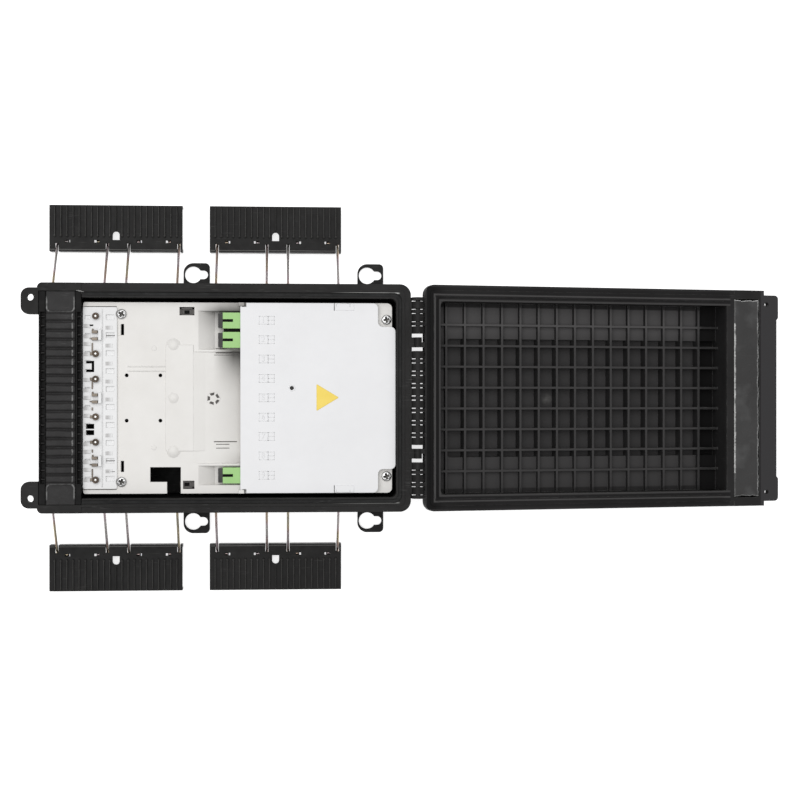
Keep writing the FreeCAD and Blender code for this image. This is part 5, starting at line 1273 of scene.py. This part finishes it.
# Latch levers: four black mouldings with a ribbed grip face, each turning on the wires of two
# bails. Each rib has a rounded crest that ends in a small bulb beside the wires, coloured lighter
# as a painted highlight; cheeks guide the wires, and a lip of lighter grey runs along the toe.
lever_black = moulded(
    "lever_black",
    (0.0085, 0.0082, 0.008),
    (0.015, 0.0144, 0.014),
    (0.36, 0.48),
    edge=(0.06, 0.058, 0.055),
    marks=0.4,
    worn=(0.09, 0.088, 0.085),
    shine=0.13,
)
lip_grey = moulded(
    "lip_grey", (0.07, 0.068, 0.066), (0.12, 0.117, 0.114), (0.34, 0.46), shine=0.25
)
# The crests wear a lighter copy of the lever's black: a painted highlight.
crest_black = moulded(
    "crest_black",
    (0.03, 0.0288, 0.028),
    (0.055, 0.053, 0.051),
    (0.3, 0.42),
    edge=(0.09, 0.087, 0.084),
    shine=0.25,
)
rib_pitch, ribs_each_way, rib_rise, rib_start = 5.1, 10, 2.0, 135.9
lever_pivot, wire_radius = 132.2, 1.05
cheek_depth, leg_gap = 1.9, 1.5
crest_bulb = ((0.0, 0.0), (0.15, 0.45), (0.5, 0.8), (0.9, 0.88), (1.4, 0.75), (1.9, 0.56))
crest_run = ((2.4, 0.5), (12.0, 0.5), (25.2, 0.5), (25.5, 0.38), (25.7, 0.0))
crest_turns = [math.pi * k / 6 for k in range(7)]


def rib_crest(name, side):
    """A rounded crest along Y, from its bulb beside the wires out to the grip edge."""
    build = bmesh.new()
    rings = []
    for along, radius in crest_bulb + crest_run:
        ring = []
        for turn in crest_turns:
            x, z = radius * math.cos(turn), radius * math.sin(turn) * 0.9 - 0.25
            ring.append(build.verts.new((x * MM, side * along * MM, z * MM)))
        rings.append(ring)
    for low, high in zip(rings, rings[1:]):
        for k in range(len(crest_turns)):
            build.faces.new((low[k - 1], low[k], high[k], high[k - 1]))
    bmesh.ops.remove_doubles(build, verts=build.verts, dist=same_place)
    return loose_shape(name, build, smooth=True)


def upright_block(build, across, along, heights, round_by):
    """A block between two measures each way, given in either order."""
    low, high = zip(sorted(across), sorted(along), sorted(heights))
    block_mesh(build, low, high, round_by)


for side, way in (("top", 1), ("bottom", -1)):
    for end in ("left", "right"):
        lever, body = f"latch_lever_{side}_{end}", f"lever_{side}_{end}"
        dress(lever_black, lever)
        low, high = (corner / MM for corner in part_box(lever))
        middle = (low.x + high.x) / 2
        ribs = [k for k in range(-ribs_each_way, ribs_each_way + 1) if k]
        crests = set_out(
            f"rib_crests_{side}_{end}",
            set_at_places,
            [(middle + k * rib_pitch, way * rib_start, high.z - 0.15) for k in ribs],
            rib_crest("crest", way),
            Widest_Turn=0.0,
            Seed=2,
            Finish=crest_black,
        )
        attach(crests, body)
        face = high.z - rib_rise
        cheek_foot = face - cheek_depth
        toe, toe_back, plate_toe, cheek_back = (
            way * (lever_pivot - out) for out in (8.5, 5.9, 1.7, 0.45)
        )
        lip_run, lip_heights = (toe + way * 1.0, toe + way * 1.8), (face - 0.3, face + 0.3)
        cheeks, lip = bmesh.new(), bmesh.new()
        lip_from = low.x + 0.4
        for bail in ("1", "2"):
            near, far = (corner.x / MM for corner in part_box(f"latch_bail_{side}_{end}_{bail}"))
            for leg, inward in ((near + wire_radius, 1), (far - wire_radius, -1)):
                for out_from, out_to in ((1.4, 3.6), (-2.1, -1.25)):
                    across = (leg + inward * out_from, leg + inward * out_to)
                    toe_heights = (low.z + 0.2, face - 0.05)
                    upright_block(cheeks, across, (toe, toe_back), toe_heights, 0.1)
                    back_heights = (cheek_foot, face - 0.05)
                    upright_block(cheeks, across, (toe_back, cheek_back), back_heights, 0.1)
                across = (leg - inward * 2.1, leg + inward * 3.6)
                plate_heights = (cheek_foot, face - 0.06)
                upright_block(cheeks, across, (plate_toe, cheek_back), plate_heights, 0.1)
                upright_block(lip, (lip_from, leg - leg_gap), lip_run, lip_heights, 0.15)
                lip_from = leg + leg_gap
        upright_block(lip, (lip_from, high.x - 0.4), lip_run, lip_heights, 0.15)
        finish_piece(f"lever_cheeks_{side}_{end}", cheeks, lever_black, body)
        finish_piece(f"lever_lip_{side}_{end}", lip, lip_grey, body)

# Bails: springs bent from steel wire with a yellow passivated plating, whose film runs from straw
# through pink to grey along each leg.
plated = moulded(
    "plated_wire",
    (0.42, 0.36, 0.29),
    (0.5, 0.47, 0.44),
    (0.2, 0.32),
    grain=2600.0,
    relief=0.00001,
    metal=1.0,
)
tree = plated.node_tree
place = tree.nodes.new("ShaderNodeTexCoord").outputs["Object"]
film = tree.nodes.new("ShaderNodeValToRGB")
film_colours = [
    (0.0, (0.33, 0.31, 0.25)),
    (0.25, (0.45, 0.39, 0.27)),
    (0.42, (0.42, 0.31, 0.26)),
    (0.55, (0.46, 0.38, 0.40)),
    (0.7, (0.48, 0.45, 0.44)),
    (1.0, (0.38, 0.38, 0.35)),
]
while len(film.color_ramp.elements) < len(film_colours):
    film.color_ramp.elements.new(0.5)
for stop, (where, colour) in zip(film.color_ramp.elements, film_colours):
    stop.position = where
    stop.color = (*colour, 1.0)
feed(tree, film.inputs["Fac"], ramp(tree, cloud(tree, place, 32.0, 1.0, 0.5), 0.25, 0.75))
feed(tree, tree.nodes["Principled BSDF"].inputs["Base Color"], film.outputs["Color"])
for side in ("top", "bottom"):
    for end in ("left", "right"):
        dress(plated, f"latch_bail_{side}_{end}_1", f"latch_bail_{side}_{end}_2")

# Floor: a plain white sheet under the open closure, which keeps only a faint shadow and shows as
# white to the camera.
sheet_half, sheet_top, sheet_glow = 3.0, -0.0003, 0.7
sheet_ends = ((-1, -1), (1, -1), (1, 1), (-1, 1))
sheet_corners = [(x * sheet_half, y * sheet_half, sheet_top) for x, y in sheet_ends]
floor_mesh = bpy.data.meshes.new("floor")
floor_mesh.from_pydata(sheet_corners, [], [(0, 1, 2, 3)])
floor = bpy.data.objects.new("floor", floor_mesh)
bpy.context.scene.collection.objects.link(floor)
floor_white = bpy.data.materials.new("floor_white")
floor_white.use_nodes = True
tree = floor_white.node_tree
sheet = tree.nodes["Principled BSDF"]
sheet.inputs["Roughness"].default_value = 0.9
sheet.inputs["Specular IOR Level"].default_value = 0.0
place = tree.nodes.new("ShaderNodeTexCoord").outputs["Object"]
paper = blend_colours(tree, cloud(tree, place, 6.0), (0.86, 0.86, 0.86), (0.88, 0.88, 0.88))
feed(tree, sheet.inputs["Base Color"], paper)
path = tree.nodes.new("ShaderNodeLightPath").outputs
seen = sums(tree, "MAXIMUM", path["Is Camera Ray"], path["Is Glossy Ray"])
glow = tree.nodes.new("ShaderNodeEmission")
feed(tree, glow.inputs["Strength"], product(tree, seen, sheet_glow))
both = tree.nodes.new("ShaderNodeAddShader")
feed(tree, both.inputs[0], sheet.outputs["BSDF"])
feed(tree, both.inputs[1], glow.outputs["Emission"])
feed(tree, tree.nodes["Material Output"].inputs["Surface"], both.outputs["Shader"])
floor_mesh.materials.append(floor_white)

# Light: a pale studio all round, which the camera sees as plain white, and one broad soft lamp
# overhead.
world = bpy.data.worlds.new("studio")
bpy.context.scene.world = world
world.use_nodes = True
tree = world.node_tree
background = tree.nodes["Background"]
background.inputs["Color"].default_value = (1.0, 1.0, 1.0, 1.0)
path = tree.nodes.new("ShaderNodeLightPath").outputs
seen = sums(tree, "MAXIMUM", path["Is Camera Ray"], path["Is Transmission Ray"])
feed(tree, background.inputs["Strength"], ramp(tree, seen, 0.0, 1.0, 0.42, 1.0))
lamp_data = bpy.data.lights.new("soft_lamp", "AREA")
lamp_data.shape = "RECTANGLE"
lamp_data.size = 2.4
lamp_data.size_y = 2.0
lamp_data.energy = 34.0
lamp = bpy.data.objects.new("soft_lamp", lamp_data)
lamp.location = (-0.25, 0.35, 2.1)
lamp_aim = Vector((0.1, 0.0, 0.05)) - lamp.location
lamp.rotation_euler = lamp_aim.to_track_quat("-Z", "Y").to_euler()
bpy.context.scene.collection.objects.link(lamp)

# Camera: high above the open closure and looking down on it, a little from its cable end, as the
# photograph was taken.
eye = Vector((46.7, -2.0, 1386.0)) * MM
aim = Vector((0.0718, 0.0003, -0.9974)).normalized()
right = aim.cross(Vector((0.0, 1.0, 0.0))).normalized()
up = right.cross(aim)
camera_data = bpy.data.cameras.new("camera")
camera_data.lens = 72.6
camera_data.sensor_width = 36.0
camera_data.clip_end = 20.0
camera = bpy.data.objects.new("camera", camera_data)
stance = [(right[i], up[i], -aim[i], eye[i]) for i in range(3)]
camera.matrix_world = Matrix(stance + [(0.0, 0.0, 0.0, 1.0)])
bpy.context.scene.collection.objects.link(camera)
bpy.context.scene.camera = camera
bpy.context.scene.view_settings.view_transform = "Standard"
